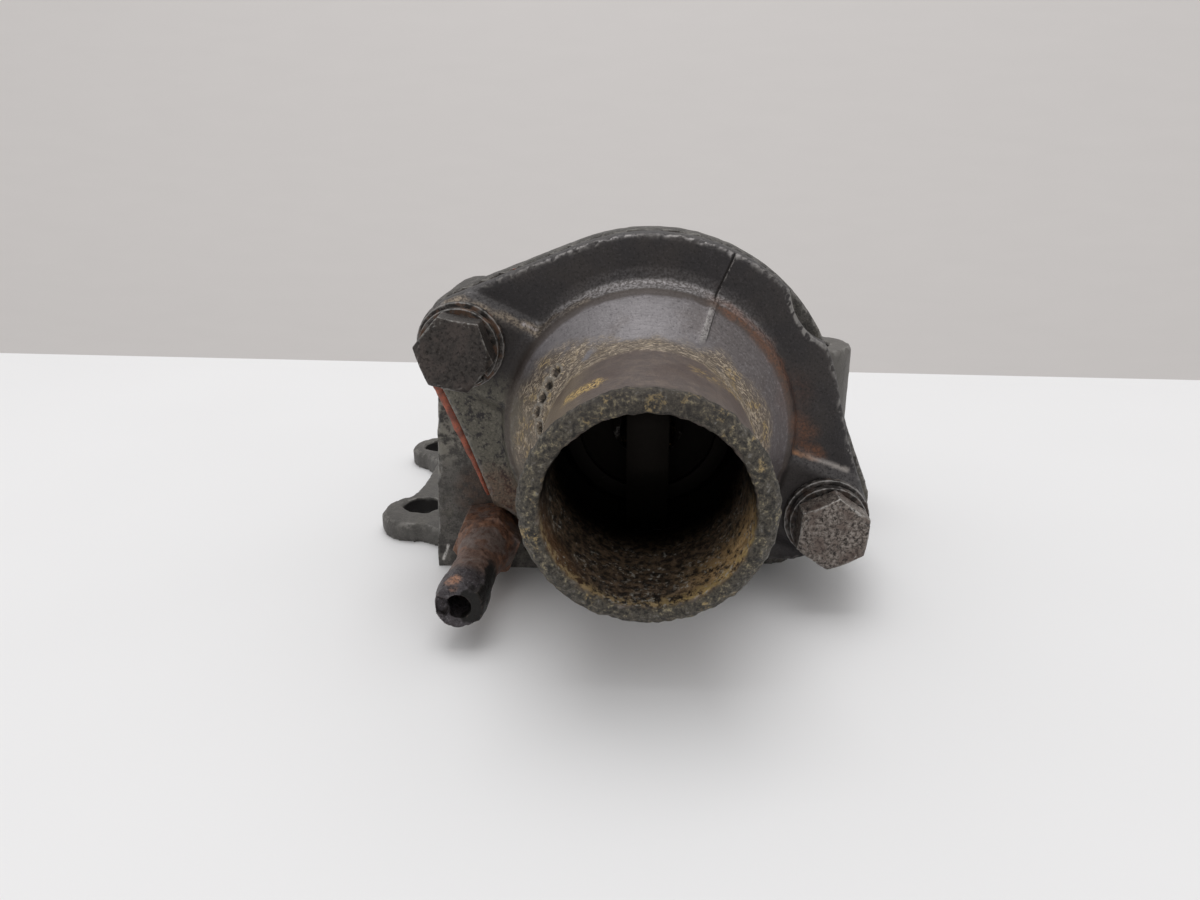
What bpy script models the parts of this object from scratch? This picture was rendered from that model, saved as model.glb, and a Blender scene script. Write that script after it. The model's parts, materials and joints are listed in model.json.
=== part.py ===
# Coolant valve housing: cast body with two ears and a tall bolt boss, cast outlet cover with a hose neck,
# two bolts with washers, a hose nipple, and the wax valve that is clamped between body and cover.
# Units are metres. +Z is up. The base stands on Z = 0. The neck points along -Y.
# The origin lies on the base face, below the valve's axis, behind the joint face between body and cover.

import math

import bmesh
import bpy
from mathutils import Matrix, Vector

# Clearances and the main reference planes
FIT_GAP = 0.0003
JOINT_SETBACK = 0.012
BORE_HEIGHT = 0.0343
SEALANT_THICKNESS = 0.0005
CUT_OVERSHOOT = 0.0006
DRILL_SPARE = 0.0010
SAME_PLACE = 0.000001

# Cover flange, its bolt arms and its edges
FLANGE_RADIUS = 0.0379
COVER_BOSS_RADIUS = 0.0088
BOLT_SIDE = 0.0357
BOLT_RISE = 0.0171
PAD_FRONT = 0.0080
BAND_RECESS = 0.0026
ARM_HALF_WIDTH = 0.0079
ARM_SLOPE = 0.0020
LEFT_CHORD_END = math.radians(218)
LEFT_WAIST_DEPTH = 0.0008
RIGHT_WAIST_DEPTH = 0.0005
COVER_EDGE_ROUND = 0.0011
COVER_BOTTOM = 0.0058
SCALLOP_RADIUS = 0.0120
SCALLOP_DEPTH = 0.0024
SCALLOP_ANGLE = math.radians(36.5)

# Cover dome and hose neck
DOME_RADIUS = 0.0284
DOME_SHOULDER = 0.0012
DOME_SHOULDER_ROUND = 0.0016
DOME_ROOT_FILLET = 0.0012
DOME_HEIGHT = 0.0100
COVER_WALL = 0.0034
CAVITY_DRAFT = 0.0007
NECK_RADIUS = 0.0190
NECK_BORE_RADIUS = 0.0170
NECK_BEAD_RADIUS = 0.0209
NECK_BEAD_LENGTH = 0.0042
NECK_MOUTH_CHAMFER = 0.0006
NECK_ROOT_STEP = 0.0002
NECK_REACH = 0.0468
NECK_TILT = math.radians(4.7)
NECK_RISE = 0.0024

# The dome's slope from its shoulder to the neck, and the hollow's slope to the neck's bore:
# each point is a share of the way in and a share of the dome's height
DOME_SLOPE = ((0.13, 0.10), (0.39, 0.34), (0.68, 0.64), (0.88, 0.88), (1.00, 1.10))
DOME_END = 1.22
CAVITY_SLOPE = ((0.22, 0.25), (0.56, 0.55), (1.00, 1.00))
CAVITY_END = 1.30

# Body casting
BODY_RIM = 0.0002
BODY_UPPER_BOSS_RADIUS = 0.0092
BODY_LOWER_BOSS_RADIUS = 0.0104
BODY_FLANGE_THICKNESS = 0.0062
BODY_FLANGE_BOTTOM = 0.0024
CHAMBER_RADIUS = 0.0255
CHAMBER_WALL = 0.0040
CHAMBER_DEPTH = 0.0500
CHAMBER_DRAFT = 0.0010
CHAMBER_ROOT_FILLET = 0.0015
CHAMBER_END_ROUND = 0.0030
BASE_THICKNESS = 0.0046
BASE_EDGE_ROUND = 0.0007
BASE_FRONT = 0.0043
BASE_CORNER_RADIUS = 0.0060
BASE_RIGHT = 0.0330
BLOCK_LEFT = 0.0454
BLOCK_HEIGHT = 0.0390
BLOCK_DRAFT = 0.0023
BLOCK_RIGHT = 0.0140
NIPPLE_BLOCK_HEIGHT = 0.0200
NIPPLE_BLOCK_DEPTH = 0.0260
NIPPLE_BLOCK_INNER = 0.0180
NIPPLE_BLOCK_ROUND = 0.0060
BODY_EDGE_ROUND = 0.0010
PORT_RADIUS = 0.0150
PORT_WALL = 0.0040
PORT_SETBACK = 0.0340
REAR_RIB_THICKNESS = 0.0050
REAR_RIB_REACH = 0.0060
WEB_HEIGHT = 0.0350
WEB_THICKNESS = 0.0100
BOLT_BACKING_RADIUS = 0.0090
BOLT_BACKING_DEPTH = 0.0190

# Fixing holes of the base: two ears at the left, one tall boss at the right
FRONT_EAR = Vector((-0.0536, 0.0226))
FRONT_EAR_RADIUS = 0.0091
FRONT_EAR_LEAD = 0.0023
EAR_ROOT_FRONT = 0.0080
REAR_EAR = Vector((-0.0583, 0.0650))
REAR_EAR_RADIUS = 0.0080
EAR_HOLE_RADIUS = 0.0045
EAR_WAIST_SIDE = 0.0566
TALL_BOSS = Vector((0.0395, 0.0435))
TALL_BOSS_RADIUS = 0.0098
TALL_BOSS_HEIGHT = 0.0406
TALL_BOSS_HOLE_RADIUS = 0.0044
TALL_BOSS_CHAMFER = 0.0006

# Cover bolts and washers
BOLT_RADIUS = 0.0040
BOLT_CLEARANCE = 0.0005
BOLT_LENGTH = 0.0260
HEAD_ACROSS_FLATS = 0.0130
HEAD_HEIGHT = 0.0053
HEAD_CHAMFER = 0.0009
BOLT_TIP_CHAMFER = 0.0010
SPOT_FACE_CLEARANCE = 0.0004
FLAT_WASHER_RADIUS = 0.0084
FLAT_WASHER_THICKNESS = 0.0014
LOCK_WASHER_RADIUS = 0.0076
LOCK_WASHER_THICKNESS = 0.0018
LOCK_WASHER_SPLIT = 0.0011
UPPER_LEFT_TURN = math.radians(49.5)
LOWER_RIGHT_TURN = math.radians(25.4)

# Hose nipple
NIPPLE_SIDE = 0.0327
NIPPLE_HEIGHT = 0.0092
NIPPLE_BORE_RADIUS = 0.0022
NIPPLE_TUBE_RADIUS = 0.0043
NIPPLE_END_RADIUS = 0.0049
NIPPLE_REACH = 0.0335
NIPPLE_THREAD_RADIUS = 0.0045
NIPPLE_THREAD_LENGTH = 0.0100
NIPPLE_HEX_ACROSS = 0.0124
NIPPLE_HEX_LENGTH = 0.0085
NIPPLE_HEX_TURN = math.radians(8)
NIPPLE_COLLAR_INSET = 0.0002
NIPPLE_NECK_ROUND = 0.0030
NIPPLE_SWELL_LENGTH = 0.0090
NIPPLE_SHOULDER = 0.0050
NIPPLE_NICK = 0.0017
NIPPLE_RELIEF = 0.0005
VENT_PASSAGE_RADIUS = 0.0021

# Wax valve
SEAL_RADIUS = 0.0272
SEAL_INNER_RADIUS = 0.0246
SEAT_RECESS_DEPTH = 0.0039
PLATE_RADIUS = 0.0260
PLATE_THICKNESS = 0.0015
DISH_OUTER_RADIUS = 0.0198
DISH_INNER_RADIUS = 0.0175
DISH_HEIGHT = 0.0035
SEAT_OPENING_RADIUS = 0.0138
DISC_RADIUS = 0.0158
DISC_THICKNESS = 0.0012
DISC_RIM_DEPTH = 0.0032
GUIDE_RADIUS = 0.0055
GUIDE_NOSE_RADIUS = 0.0036
GUIDE_REACH = 0.0100
COLLAR_RADIUS = 0.0082
COLLAR_THICKNESS = 0.0042
CLIP_WIDTH = 0.0019
CLIP_THICKNESS = 0.0010
GROOVE_DEPTH = 0.0005
CAPSULE_RADIUS = 0.0086
CAPSULE_LIP = 0.0011
CAPSULE_END_ROUND = 0.0026
CAPSULE_LENGTH = 0.0300
PISTON_RADIUS = 0.0020
PISTON_INSERTION = 0.0180
STRAP_THICKNESS = 0.0013
STRAP_WIDTH = 0.0080
STRAP_FOOT = 0.0030
STRAP_INSET = 0.0004
STRAP_BEND = 0.0012
BRIDGE_LEAN = 0.0030
BRIDGE_HEIGHT = 0.0155
BRIDGE_TOP_HALF = 0.0060
FRAME_DEPTH = 0.0256
FRAME_RING_RADIUS = 0.0150
FRAME_HOLE_CLEARANCE = 0.0006
FRAME_RING_RELIEF = 0.0002
SPRING_WIRE_RADIUS = 0.0011
SPRING_COIL_RADIUS = 0.0125
SPRING_TURNS = 4.5
JIGGLE_PLACE_RADIUS = 0.0220
JIGGLE_ANGLE = math.radians(135)
JIGGLE_STEM_RADIUS = 0.0010
JIGGLE_HEAD_RADIUS = 0.0019
JIGGLE_HEAD_THICKNESS = 0.0012
JIGGLE_TRAVEL = 0.0012

# Sealant that was squeezed out at the left side and on top
BEAD_RADIUS = 0.0010
SEALANT_INSET = 0.0008
BEAD_TAPER = 0.55
BEAD_END_GAP = 0.0004
BEAD_STEPS = 7
BEAD_SIDES = 10
BLOB_ANGLE = math.radians(131)
BLOB_REACH = 0.0022
BLOB_ROOT = 0.0018
BLOB_RADIUS = 0.0002

# Facets of large, middle and small round shapes, and of the spring's turns and wire
LARGE_STEPS = 48
VALVE_STEPS = 36
MIDDLE_STEPS = 28
SMALL_STEPS = 18
SPRING_STEPS = 14
SPRING_SIDES = 6
EDGE_STEPS = 2

# Planes that follow from the sizes above, as distances behind the body's joint face
COVER_BACK = -(SEALANT_THICKNESS + 2 * FIT_GAP)
BAND_FRONT = PAD_FRONT - BAND_RECESS
BOLT_DISTANCE = math.hypot(BOLT_SIDE, BOLT_RISE)
BOLT_LINE_ANGLE = math.atan2(BOLT_RISE, -BOLT_SIDE)
NIPPLE_RELIEF_RADIUS = NIPPLE_HEX_ACROSS / 2 / math.cos(math.pi / 6) + NIPPLE_RELIEF
WASHER_BACK = -PAD_FRONT - FIT_GAP
LOCK_BACK = WASHER_BACK - FLAT_WASHER_THICKNESS - FIT_GAP
HEAD_BACK = LOCK_BACK - LOCK_WASHER_THICKNESS - FIT_GAP
SEAL_FRONT = COVER_BACK + FIT_GAP
SEAL_BACK = SEAT_RECESS_DEPTH - FIT_GAP
PLATE_FRONT = (SEAL_FRONT + SEAL_BACK - PLATE_THICKNESS) / 2
PLATE_BACK = PLATE_FRONT + PLATE_THICKNESS
DISC_FRONT = PLATE_BACK - DISH_HEIGHT + FIT_GAP
DISC_BACK = DISC_FRONT + DISC_THICKNESS
COLLAR_FRONT = DISC_BACK + FIT_GAP
COLLAR_BACK = COLLAR_FRONT + COLLAR_THICKNESS
CAPSULE_END = COLLAR_FRONT + CAPSULE_LENGTH

MATERIALS = {
    "cast_body": ((0.17, 0.17, 0.165), 0.62, 0.75),
    "cast_cover": ((0.15, 0.14, 0.14), 0.50, 0.80),
    "sealant": ((0.42, 0.09, 0.045), 0.60, 0.0),
    "bolt_steel": ((0.09, 0.085, 0.08), 0.50, 0.85),
    "washer_steel": ((0.10, 0.085, 0.075), 0.55, 0.80),
    "rusty_steel": ((0.14, 0.065, 0.040), 0.70, 0.45),
    "brass": ((0.33, 0.25, 0.12), 0.50, 0.85),
    "plate_steel": ((0.24, 0.22, 0.18), 0.45, 0.90),
    "spring_steel": ((0.20, 0.20, 0.20), 0.40, 0.95),
    "rubber": ((0.03, 0.03, 0.03), 0.75, 0.0),
}


# Start from an empty scene
def clear_scene():
    for obj in list(bpy.data.objects):
        bpy.data.objects.remove(obj, do_unlink=True)


def add_frame(name, location, rotation=(0, 0, 0), parent=None):
    frame = bpy.data.objects.new(name, None)
    frame.location = location
    frame.rotation_euler = rotation
    frame.parent = parent
    bpy.context.collection.objects.link(frame)
    return frame


def find_material(name):
    material = bpy.data.materials.get(name)
    if material is None:
        colour, roughness, metallic = MATERIALS[name]
        material = bpy.data.materials.new(name)
        material.use_nodes = True
        shader = material.node_tree.nodes["Principled BSDF"]
        shader.inputs["Base Color"].default_value = (*colour, 1)
        shader.inputs["Roughness"].default_value = roughness
        shader.inputs["Metallic"].default_value = metallic
    return material


def add_solid(name, bm, parent, material=None, location=(0, 0, 0), rotation=(0, 0, 0)):
    """Makes an object of a bmesh. Without a material it is a tool for a Boolean, and no part of the model."""
    bmesh.ops.remove_doubles(bm, verts=bm.verts, dist=SAME_PLACE)
    bmesh.ops.recalc_face_normals(bm, faces=bm.faces)
    mesh = bpy.data.meshes.new(name)
    bm.to_mesh(mesh)
    bm.free()
    mesh.shade_smooth()
    mesh.set_sharp_from_angle(angle=math.radians(32))
    obj = bpy.data.objects.new(name, mesh)
    obj.location = location
    obj.rotation_euler = rotation
    obj.parent = parent
    bpy.context.collection.objects.link(obj)
    if material:
        mesh.materials.append(find_material(material))
    else:
        obj.hide_render = True
        obj.display_type = "WIRE"
    return obj


def combine(target, tools, operation):
    for tool in tools:
        modifier = target.modifiers.new(tool.name, "BOOLEAN")
        modifier.operation = operation
        modifier.solver = "EXACT"
        modifier.object = tool


# Shapes that most pieces start from
def turned(profile, steps, closed=True):
    """Spins a profile of (radius, y) points round the Y axis. An open profile starts and ends on the axis."""
    bm = bmesh.new()
    verts = [bm.verts.new((radius, y, 0)) for radius, y in profile]
    pairs = list(zip(verts, verts[1:]))
    if closed:
        pairs.append((verts[-1], verts[0]))
    edges = [bm.edges.new(pair) for pair in pairs]
    bmesh.ops.spin(
        bm, geom=verts + edges, cent=(0, 0, 0), axis=(0, 1, 0), angle=math.tau, steps=steps, use_merge=True
    )
    return bm


def extruded(outline, low, high, up=False):
    """Extrudes an outline of (x, z) points along Y, or of (x, y) points along Z when up is set."""
    bm = bmesh.new()
    ends = []
    for level in (low, high):
        ring = [bm.verts.new((a, b, level) if up else (a, level, b)) for a, b in outline]
        ends.append(ring)
        bm.faces.new(ring)
    count = len(outline)
    for i in range(count):
        j = (i + 1) % count
        bm.faces.new((ends[0][i], ends[0][j], ends[1][j], ends[1][i]))
    bmesh.ops.recalc_face_normals(bm, faces=bm.faces)
    return bm


def rod(start, end, radius, steps):
    """A cylinder from one point to another."""
    start, end = Vector(start), Vector(end)
    span = end - start
    turn = Vector((0, 0, 1)).rotation_difference(span).to_matrix().to_4x4()
    bm = bmesh.new()
    bmesh.ops.create_cone(
        bm, cap_ends=True, segments=steps, radius1=radius, radius2=radius, depth=span.length,
        matrix=Matrix.Translation((start + end) / 2) @ turn,
    )
    return bm


def arc(centre, radius, start, end, steps):
    return [
        (
            centre[0] + radius * math.cos(start + (end - start) * i / steps),
            centre[1] + radius * math.sin(start + (end - start) * i / steps),
        )
        for i in range(steps + 1)
    ]


def waist(start, end, depth, steps=6):
    """Points between two ends of a straight side, drawn in towards the outline's right-hand side."""
    start, end = Vector(start), Vector(end)
    inward = Vector((start.y - end.y, end.x - start.x)).normalized()
    points = []
    for i in range(1, steps):
        share = i / steps
        points.append(tuple(start.lerp(end, share) + inward * depth * math.sin(math.pi * share)))
    return points


def clipped(outline, low):
    """Cuts an outline off below a level of its second coordinate."""
    kept = []
    for (ax, ay), (bx, by) in zip(outline, outline[1:] + outline[:1]):
        if ay >= low:
            kept.append((ax, ay))
        if (ay >= low) != (by >= low):
            share = (low - ay) / (by - ay)
            kept.append((ax + (bx - ax) * share, low))
    return kept


def hexagon(across_flats, turn, centre=(0, 0)):
    radius = across_flats / 2 / math.cos(math.pi / 6)
    return arc(centre, radius, turn, turn + math.tau * 5 / 6, 5)


def soften(bm, wanted, width, steps=EDGE_STEPS):
    """Rounds the edges whose two ends and face angle pass a test."""
    edges = [edge for edge in bm.edges if len(edge.link_faces) == 2 and wanted(edge)]
    bmesh.ops.bevel(bm, geom=edges, offset=width, segments=steps, profile=0.5, affect="EDGES")


# Cover and body share this outline round the bore's axis
def left_side(grow, boss_radius):
    """The left side of the flange: a shallow waist from the upper boss to a chord's end on the large circle."""
    large, small = FLANGE_RADIUS + grow, boss_radius
    turn = BOLT_LINE_ANGLE + math.acos((FLANGE_RADIUS - COVER_BOSS_RADIUS) / BOLT_DISTANCE)
    start = (-BOLT_SIDE + small * math.cos(turn), BOLT_RISE + small * math.sin(turn))
    end = (large * math.cos(LEFT_CHORD_END), large * math.sin(LEFT_CHORD_END))
    return [start, *waist(start, end, LEFT_WAIST_DEPTH), end]


def flange_outline(grow, bottom, upper_boss, lower_boss):
    """Outline of the flange as (x, z) points from the bore's axis, cut off flat below a height over the base."""
    large = FLANGE_RADIUS + grow
    upper_spread = math.acos((large - upper_boss) / BOLT_DISTANCE)
    lower_spread = math.acos((large - lower_boss) / BOLT_DISTANCE)
    left, right = BOLT_LINE_ANGLE, BOLT_LINE_ANGLE - math.pi
    side = left_side(grow, upper_boss)
    turn = math.atan2(side[0][1] - BOLT_RISE, side[0][0] + BOLT_SIDE) % math.tau
    top = arc((0, 0), large, right + lower_spread, left - upper_spread, LARGE_STEPS // 3)
    boss = arc((-BOLT_SIDE, BOLT_RISE), upper_boss, left - upper_spread, turn, 10)
    low = arc((0, 0), large, LEFT_CHORD_END, right + math.tau - lower_spread, LARGE_STEPS // 4)
    boss_low = arc((BOLT_SIDE, -BOLT_RISE), lower_boss, right - lower_spread, right + lower_spread, 10)
    right_side = waist(boss_low[-1], top[0], RIGHT_WAIST_DEPTH)
    return clipped(top + boss + side[1:-1] + low + boss_low + right_side, bottom - BORE_HEIGHT)


def cover_outline(grow):
    radius = COVER_BOSS_RADIUS + grow
    return flange_outline(grow, COVER_BOTTOM - grow, radius, radius)


def bolt_places():
    return {"upper_left": (-BOLT_SIDE, BOLT_RISE), "lower_right": (BOLT_SIDE, -BOLT_RISE)}


def settled(outline, across, level, reach):
    """Slides each outline point that lies close to a level, measured across, along its edge onto that level."""
    points = [Vector(point) for point in outline]
    for i, point in enumerate(points):
        for other in (points[i - 1], points[(i + 1) % len(points)]):
            here, there = point.dot(across), other.dot(across)
            if (here - level) * (there - level) < 0:
                crossing = point.lerp(other, (level - here) / (there - here))
                if (crossing - point).length < reach:
                    points[i] = crossing
    return [tuple(point) for point in points]


def cover_flange():
    """The flange plate: a flat band all round, and a raised arm along the line of the two bolts."""
    outline = cover_outline(0)
    ridge = ARM_HALF_WIDTH + ARM_SLOPE
    flat_across = Vector((math.sin(BOLT_LINE_ANGLE), -math.cos(BOLT_LINE_ANGLE)))
    for level in (ridge, -ridge):
        outline = settled(outline, flat_across, level, 1.5 * COVER_EDGE_ROUND)
    bm = extruded(outline, -BAND_FRONT, COVER_BACK)
    across = Vector((flat_across.x, 0, flat_across.y))
    for side in (across, -across):
        geometry = bm.verts[:] + bm.edges[:] + bm.faces[:]
        bmesh.ops.bisect_plane(bm, geom=geometry, dist=SAME_PLACE, plane_co=side * ridge, plane_no=side)
    front = [face for face in bm.faces if face.normal.y < -0.9]
    raised = [face for face in front if abs(face.calc_center_median().dot(across)) < ridge]
    lifted = bmesh.ops.extrude_face_region(bm, geom=raised)["geom"]
    bmesh.ops.delete(bm, geom=raised, context="FACES_ONLY")
    for vert in (item for item in lifted if isinstance(item, bmesh.types.BMVert)):
        vert.co.y -= BAND_RECESS
        place = vert.co.dot(across)
        if abs(place) > ridge - 10 * SAME_PLACE:
            vert.co -= across * math.copysign(ARM_SLOPE, place)
    bmesh.ops.recalc_face_normals(bm, faces=bm.faces)

    def front_edge(edge):
        levels = [vert.co.y for vert in edge.verts]
        level = abs(levels[0] - levels[1]) < SAME_PLACE and levels[0] < -BAND_FRONT + SAME_PLACE
        return level and edge.calc_face_angle_signed() > math.radians(25)

    soften(bm, front_edge, COVER_EDGE_ROUND)
    return bm


def slope_points(radius, run, front, shares):
    """Points on a slope of the dome. Each share goes in by a part of the run and forward by one of the height."""
    return [(radius - run * inward, -front - DOME_HEIGHT * forward) for inward, forward in shares]


def dome_profile():
    """Outer side of the dome, from inside the flange over its root fillet and shoulder to the neck."""
    shoulder = PAD_FRONT + DOME_SHOULDER
    top = DOME_RADIUS - DOME_SHOULDER_ROUND
    end = -shoulder - DOME_HEIGHT * DOME_END
    return [
        (0, -PAD_FRONT / 2),
        (DOME_RADIUS + DOME_ROOT_FILLET, -PAD_FRONT / 2),
        (DOME_RADIUS + DOME_ROOT_FILLET, -BAND_FRONT),
        (DOME_RADIUS + DOME_ROOT_FILLET / 3, -BAND_FRONT - DOME_ROOT_FILLET * 3 / 4),
        (DOME_RADIUS, -PAD_FRONT),
        (DOME_RADIUS - DOME_SHOULDER_ROUND * 3 / 8, -shoulder + DOME_SHOULDER / 4),
        (top, -shoulder),
        *slope_points(top, top - NECK_RADIUS - NECK_ROOT_STEP, shoulder, DOME_SLOPE),
        (NECK_RADIUS - NECK_RISE, end),
        (0, end),
    ]


def cavity_profile():
    """Hollow of the dome, one wall inside its outer side, narrowing to just inside the neck's bore."""
    wide = DOME_RADIUS - COVER_WALL - CAVITY_DRAFT
    narrow = NECK_BORE_RADIUS - NECK_MOUTH_CHAMFER
    end = -PAD_FRONT - DOME_HEIGHT * CAVITY_END
    return [
        (0, CUT_OVERSHOOT),
        (wide, CUT_OVERSHOOT),
        (wide, -PAD_FRONT),
        *slope_points(wide, wide - narrow, PAD_FRONT, CAVITY_SLOPE),
        (narrow - NECK_ROOT_STEP, end),
        (0, end),
    ]


def neck_profile():
    """Outer side of the neck along its own axis, with the hose bead at its mouth."""
    mouth = -NECK_REACH
    bead = NECK_BEAD_RADIUS - NECK_RADIUS
    return [
        (0, -PAD_FRONT),
        (NECK_RADIUS, -PAD_FRONT),
        (NECK_RADIUS, mouth + NECK_BEAD_LENGTH),
        (NECK_RADIUS + bead * 0.6, mouth + NECK_BEAD_LENGTH * 0.78),
        (NECK_BEAD_RADIUS, mouth + NECK_BEAD_LENGTH * 0.50),
        (NECK_BEAD_RADIUS - bead * 0.25, mouth + NECK_BEAD_LENGTH * 0.22),
        (NECK_RADIUS, mouth),
        (0, mouth),
    ]


def neck_bore_profile():
    mouth = -NECK_REACH
    return [
        (0, -PAD_FRONT - DOME_HEIGHT * 0.7),
        (NECK_BORE_RADIUS, -PAD_FRONT - DOME_HEIGHT * 0.7),
        (NECK_BORE_RADIUS, mouth + NECK_MOUTH_CHAMFER),
        (NECK_BORE_RADIUS + NECK_MOUTH_CHAMFER, mouth),
        (NECK_BORE_RADIUS + NECK_MOUTH_CHAMFER, mouth - CUT_OVERSHOOT),
        (0, mouth - CUT_OVERSHOOT),
    ]


def nipple_relief(name, joint):
    """A cutter that keeps the cover and the sealant clear of the nipple's corners."""
    back = (-NIPPLE_SIDE, CUT_OVERSHOOT, NIPPLE_HEIGHT)
    front = (-NIPPLE_SIDE, -PAD_FRONT - DOME_SHOULDER, NIPPLE_HEIGHT)
    return add_solid(name, rod(back, front, NIPPLE_RELIEF_RADIUS, MIDDLE_STEPS), joint)


def spot_face(name, x, z, bore):
    """A cutter that keeps the dome clear of a bolt's washers and head."""
    back = -PAD_FRONT - FIT_GAP / 2
    front = HEAD_BACK - HEAD_HEIGHT - SPOT_FACE_CLEARANCE
    cutter = rod((x, back, z), (x, front, z), FLAT_WASHER_RADIUS + SPOT_FACE_CLEARANCE, MIDDLE_STEPS)
    return add_solid(f"spot_face_{name}", cutter, bore)


def scallop(name, bore, inset):
    """A cutter for the shallow bay in the flange's right shoulder."""
    place = FLANGE_RADIUS - SCALLOP_DEPTH + SCALLOP_RADIUS
    x, z = place * math.cos(SCALLOP_ANGLE), place * math.sin(SCALLOP_ANGLE)
    cutter = rod((x, 0, z), (x, -2 * PAD_FRONT, z), SCALLOP_RADIUS + inset, LARGE_STEPS - 8)
    return add_solid(name, cutter, bore)


def foot_cut(bore):
    """A cutter that ends the dome flat, level with the flange's bottom edge."""
    side, foot, level = FLANGE_RADIUS, -BORE_HEIGHT, COVER_BOTTOM - BORE_HEIGHT
    outline = [(-side, foot), (side, foot), (side, level), (-side, level)]
    return add_solid("foot_cut", extruded(outline, -PAD_FRONT - 2 * DOME_HEIGHT, CUT_OVERSHOOT), bore)


def build_cover(joint, bore, neck):
    cover = add_solid("outlet_cover", cover_flange(), bore, "cast_cover")
    dome = add_solid("cover_dome_form", turned(dome_profile(), LARGE_STEPS, closed=False), bore)
    tube = add_solid("cover_neck_form", turned(neck_profile(), LARGE_STEPS, closed=False), neck)
    combine(cover, [dome, tube], "UNION")
    cavity = add_solid("cover_cavity", turned(cavity_profile(), LARGE_STEPS, closed=False), bore)
    neck_bore = add_solid("neck_bore", turned(neck_bore_profile(), LARGE_STEPS, closed=False), neck)
    holes = [
        add_solid(
            f"cover_hole_{name}",
            rod((x, 0, z), (x, -2 * PAD_FRONT, z), BOLT_RADIUS + BOLT_CLEARANCE, SMALL_STEPS),
            bore,
        )
        for name, (x, z) in bolt_places().items()
    ]
    faces = [spot_face(name, x, z, bore) for name, (x, z) in bolt_places().items()]
    edges = [scallop("cover_scallop", bore, 0), foot_cut(bore), nipple_relief("cover_relief", joint)]
    combine(cover, [cavity, neck_bore, *edges, *faces, *holes], "DIFFERENCE")


# Body casting
def base_outline():
    corner = (BASE_RIGHT - BASE_CORNER_RADIUS, BASE_FRONT + BASE_CORNER_RADIUS)
    front_ear = FRONT_EAR - Vector((0, FRONT_EAR_LEAD))
    quarter = math.pi / 2
    return (
        arc(corner, BASE_CORNER_RADIUS, -quarter, 0, 4)
        + arc(TALL_BOSS, TALL_BOSS_RADIUS, math.radians(-20), math.radians(100), 10)
        + arc(REAR_EAR, REAR_EAR_RADIUS, math.radians(80), math.radians(250), 12)
        + [(-EAR_WAIST_SIDE, REAR_EAR.y - REAR_EAR_RADIUS * 1.7)]
        + [(-EAR_WAIST_SIDE, FRONT_EAR.y + FRONT_EAR_RADIUS * 1.5)]
        + arc(front_ear, FRONT_EAR_RADIUS, math.radians(118), math.radians(284), 14)
        + [(-BLOCK_LEFT, EAR_ROOT_FRONT), (-BLOCK_LEFT, 0)]
        + [(-BLOCK_RIGHT, 0), (-BLOCK_RIGHT, BASE_FRONT)]
    )


def base_plate():
    bm = extruded(base_outline(), 0, BASE_THICKNESS, up=True)

    def upper_rim(edge):
        behind = all(vert.co.y > BASE_FRONT + SAME_PLACE for vert in edge.verts)
        return behind and all(vert.co.z > BASE_THICKNESS - SAME_PLACE for vert in edge.verts)

    soften(bm, upper_rim, BASE_EDGE_ROUND, steps=1)
    return bm


def block_outline(height, inner):
    """The left block from the front, with its drafted outer side. Its foot sits in the base plate."""
    foot = BASE_THICKNESS / 4
    draft = BLOCK_DRAFT / BLOCK_HEIGHT
    side = -BLOCK_LEFT
    return [(side + draft * foot, foot), (-inner, foot), (-inner, height), (side + draft * height, height)]


def block_rear_edge(edge):
    """The nipple block is rounded along its top and its outer corner, behind the flange."""
    top = all(vert.co.z > NIPPLE_BLOCK_HEIGHT - SAME_PLACE for vert in edge.verts)
    rear = all(vert.co.y > NIPPLE_BLOCK_DEPTH - SAME_PLACE for vert in edge.verts)
    outer = all(vert.co.x < -BLOCK_LEFT + BLOCK_DRAFT for vert in edge.verts)
    return (top and rear) or (top and outer) or (rear and outer)


def tall_boss_profile(radius, low, high, chamfer):
    return [(0, low), (radius, low), (radius, high - chamfer), (radius - chamfer, high), (0, high)]


def chamber_outer_profile():
    radius = CHAMBER_RADIUS + CHAMBER_WALL
    end = CHAMBER_DEPTH + CHAMBER_WALL
    return [
        (0, BODY_FLANGE_THICKNESS / 2),
        (radius + CHAMBER_ROOT_FILLET, BODY_FLANGE_THICKNESS / 2),
        (radius + CHAMBER_ROOT_FILLET, BODY_FLANGE_THICKNESS),
        (radius, BODY_FLANGE_THICKNESS + 2 * CHAMBER_ROOT_FILLET),
        (radius - CHAMBER_DRAFT, end - 2 * CHAMBER_END_ROUND),
        (radius - CHAMBER_DRAFT - CHAMBER_END_ROUND * 2 / 3, end - CHAMBER_END_ROUND * 2 / 3),
        (radius - CHAMBER_DRAFT - 2 * CHAMBER_END_ROUND, end),
        (0, end),
    ]


def chamber_inner_profile():
    return [
        (0, -CUT_OVERSHOOT),
        (SEAL_RADIUS + FIT_GAP, -CUT_OVERSHOOT),
        (SEAL_RADIUS + FIT_GAP, SEAT_RECESS_DEPTH),
        (CHAMBER_RADIUS, SEAT_RECESS_DEPTH),
        (CHAMBER_RADIUS, CHAMBER_DEPTH - CHAMBER_END_ROUND * 4 / 3),
        (CHAMBER_RADIUS - CHAMBER_END_ROUND / 2, CHAMBER_DEPTH - CHAMBER_END_ROUND / 3),
        (CHAMBER_RADIUS - CHAMBER_END_ROUND * 3 / 2, CHAMBER_DEPTH),
        (0, CHAMBER_DEPTH),
    ]


def upright(profile, steps):
    """A turned shape whose axis stands along Z."""
    bm = turned(profile, steps, closed=False)
    bmesh.ops.rotate(bm, verts=bm.verts, cent=(0, 0, 0), matrix=Matrix.Rotation(math.pi / 2, 3, "X"))
    return bm


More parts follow.
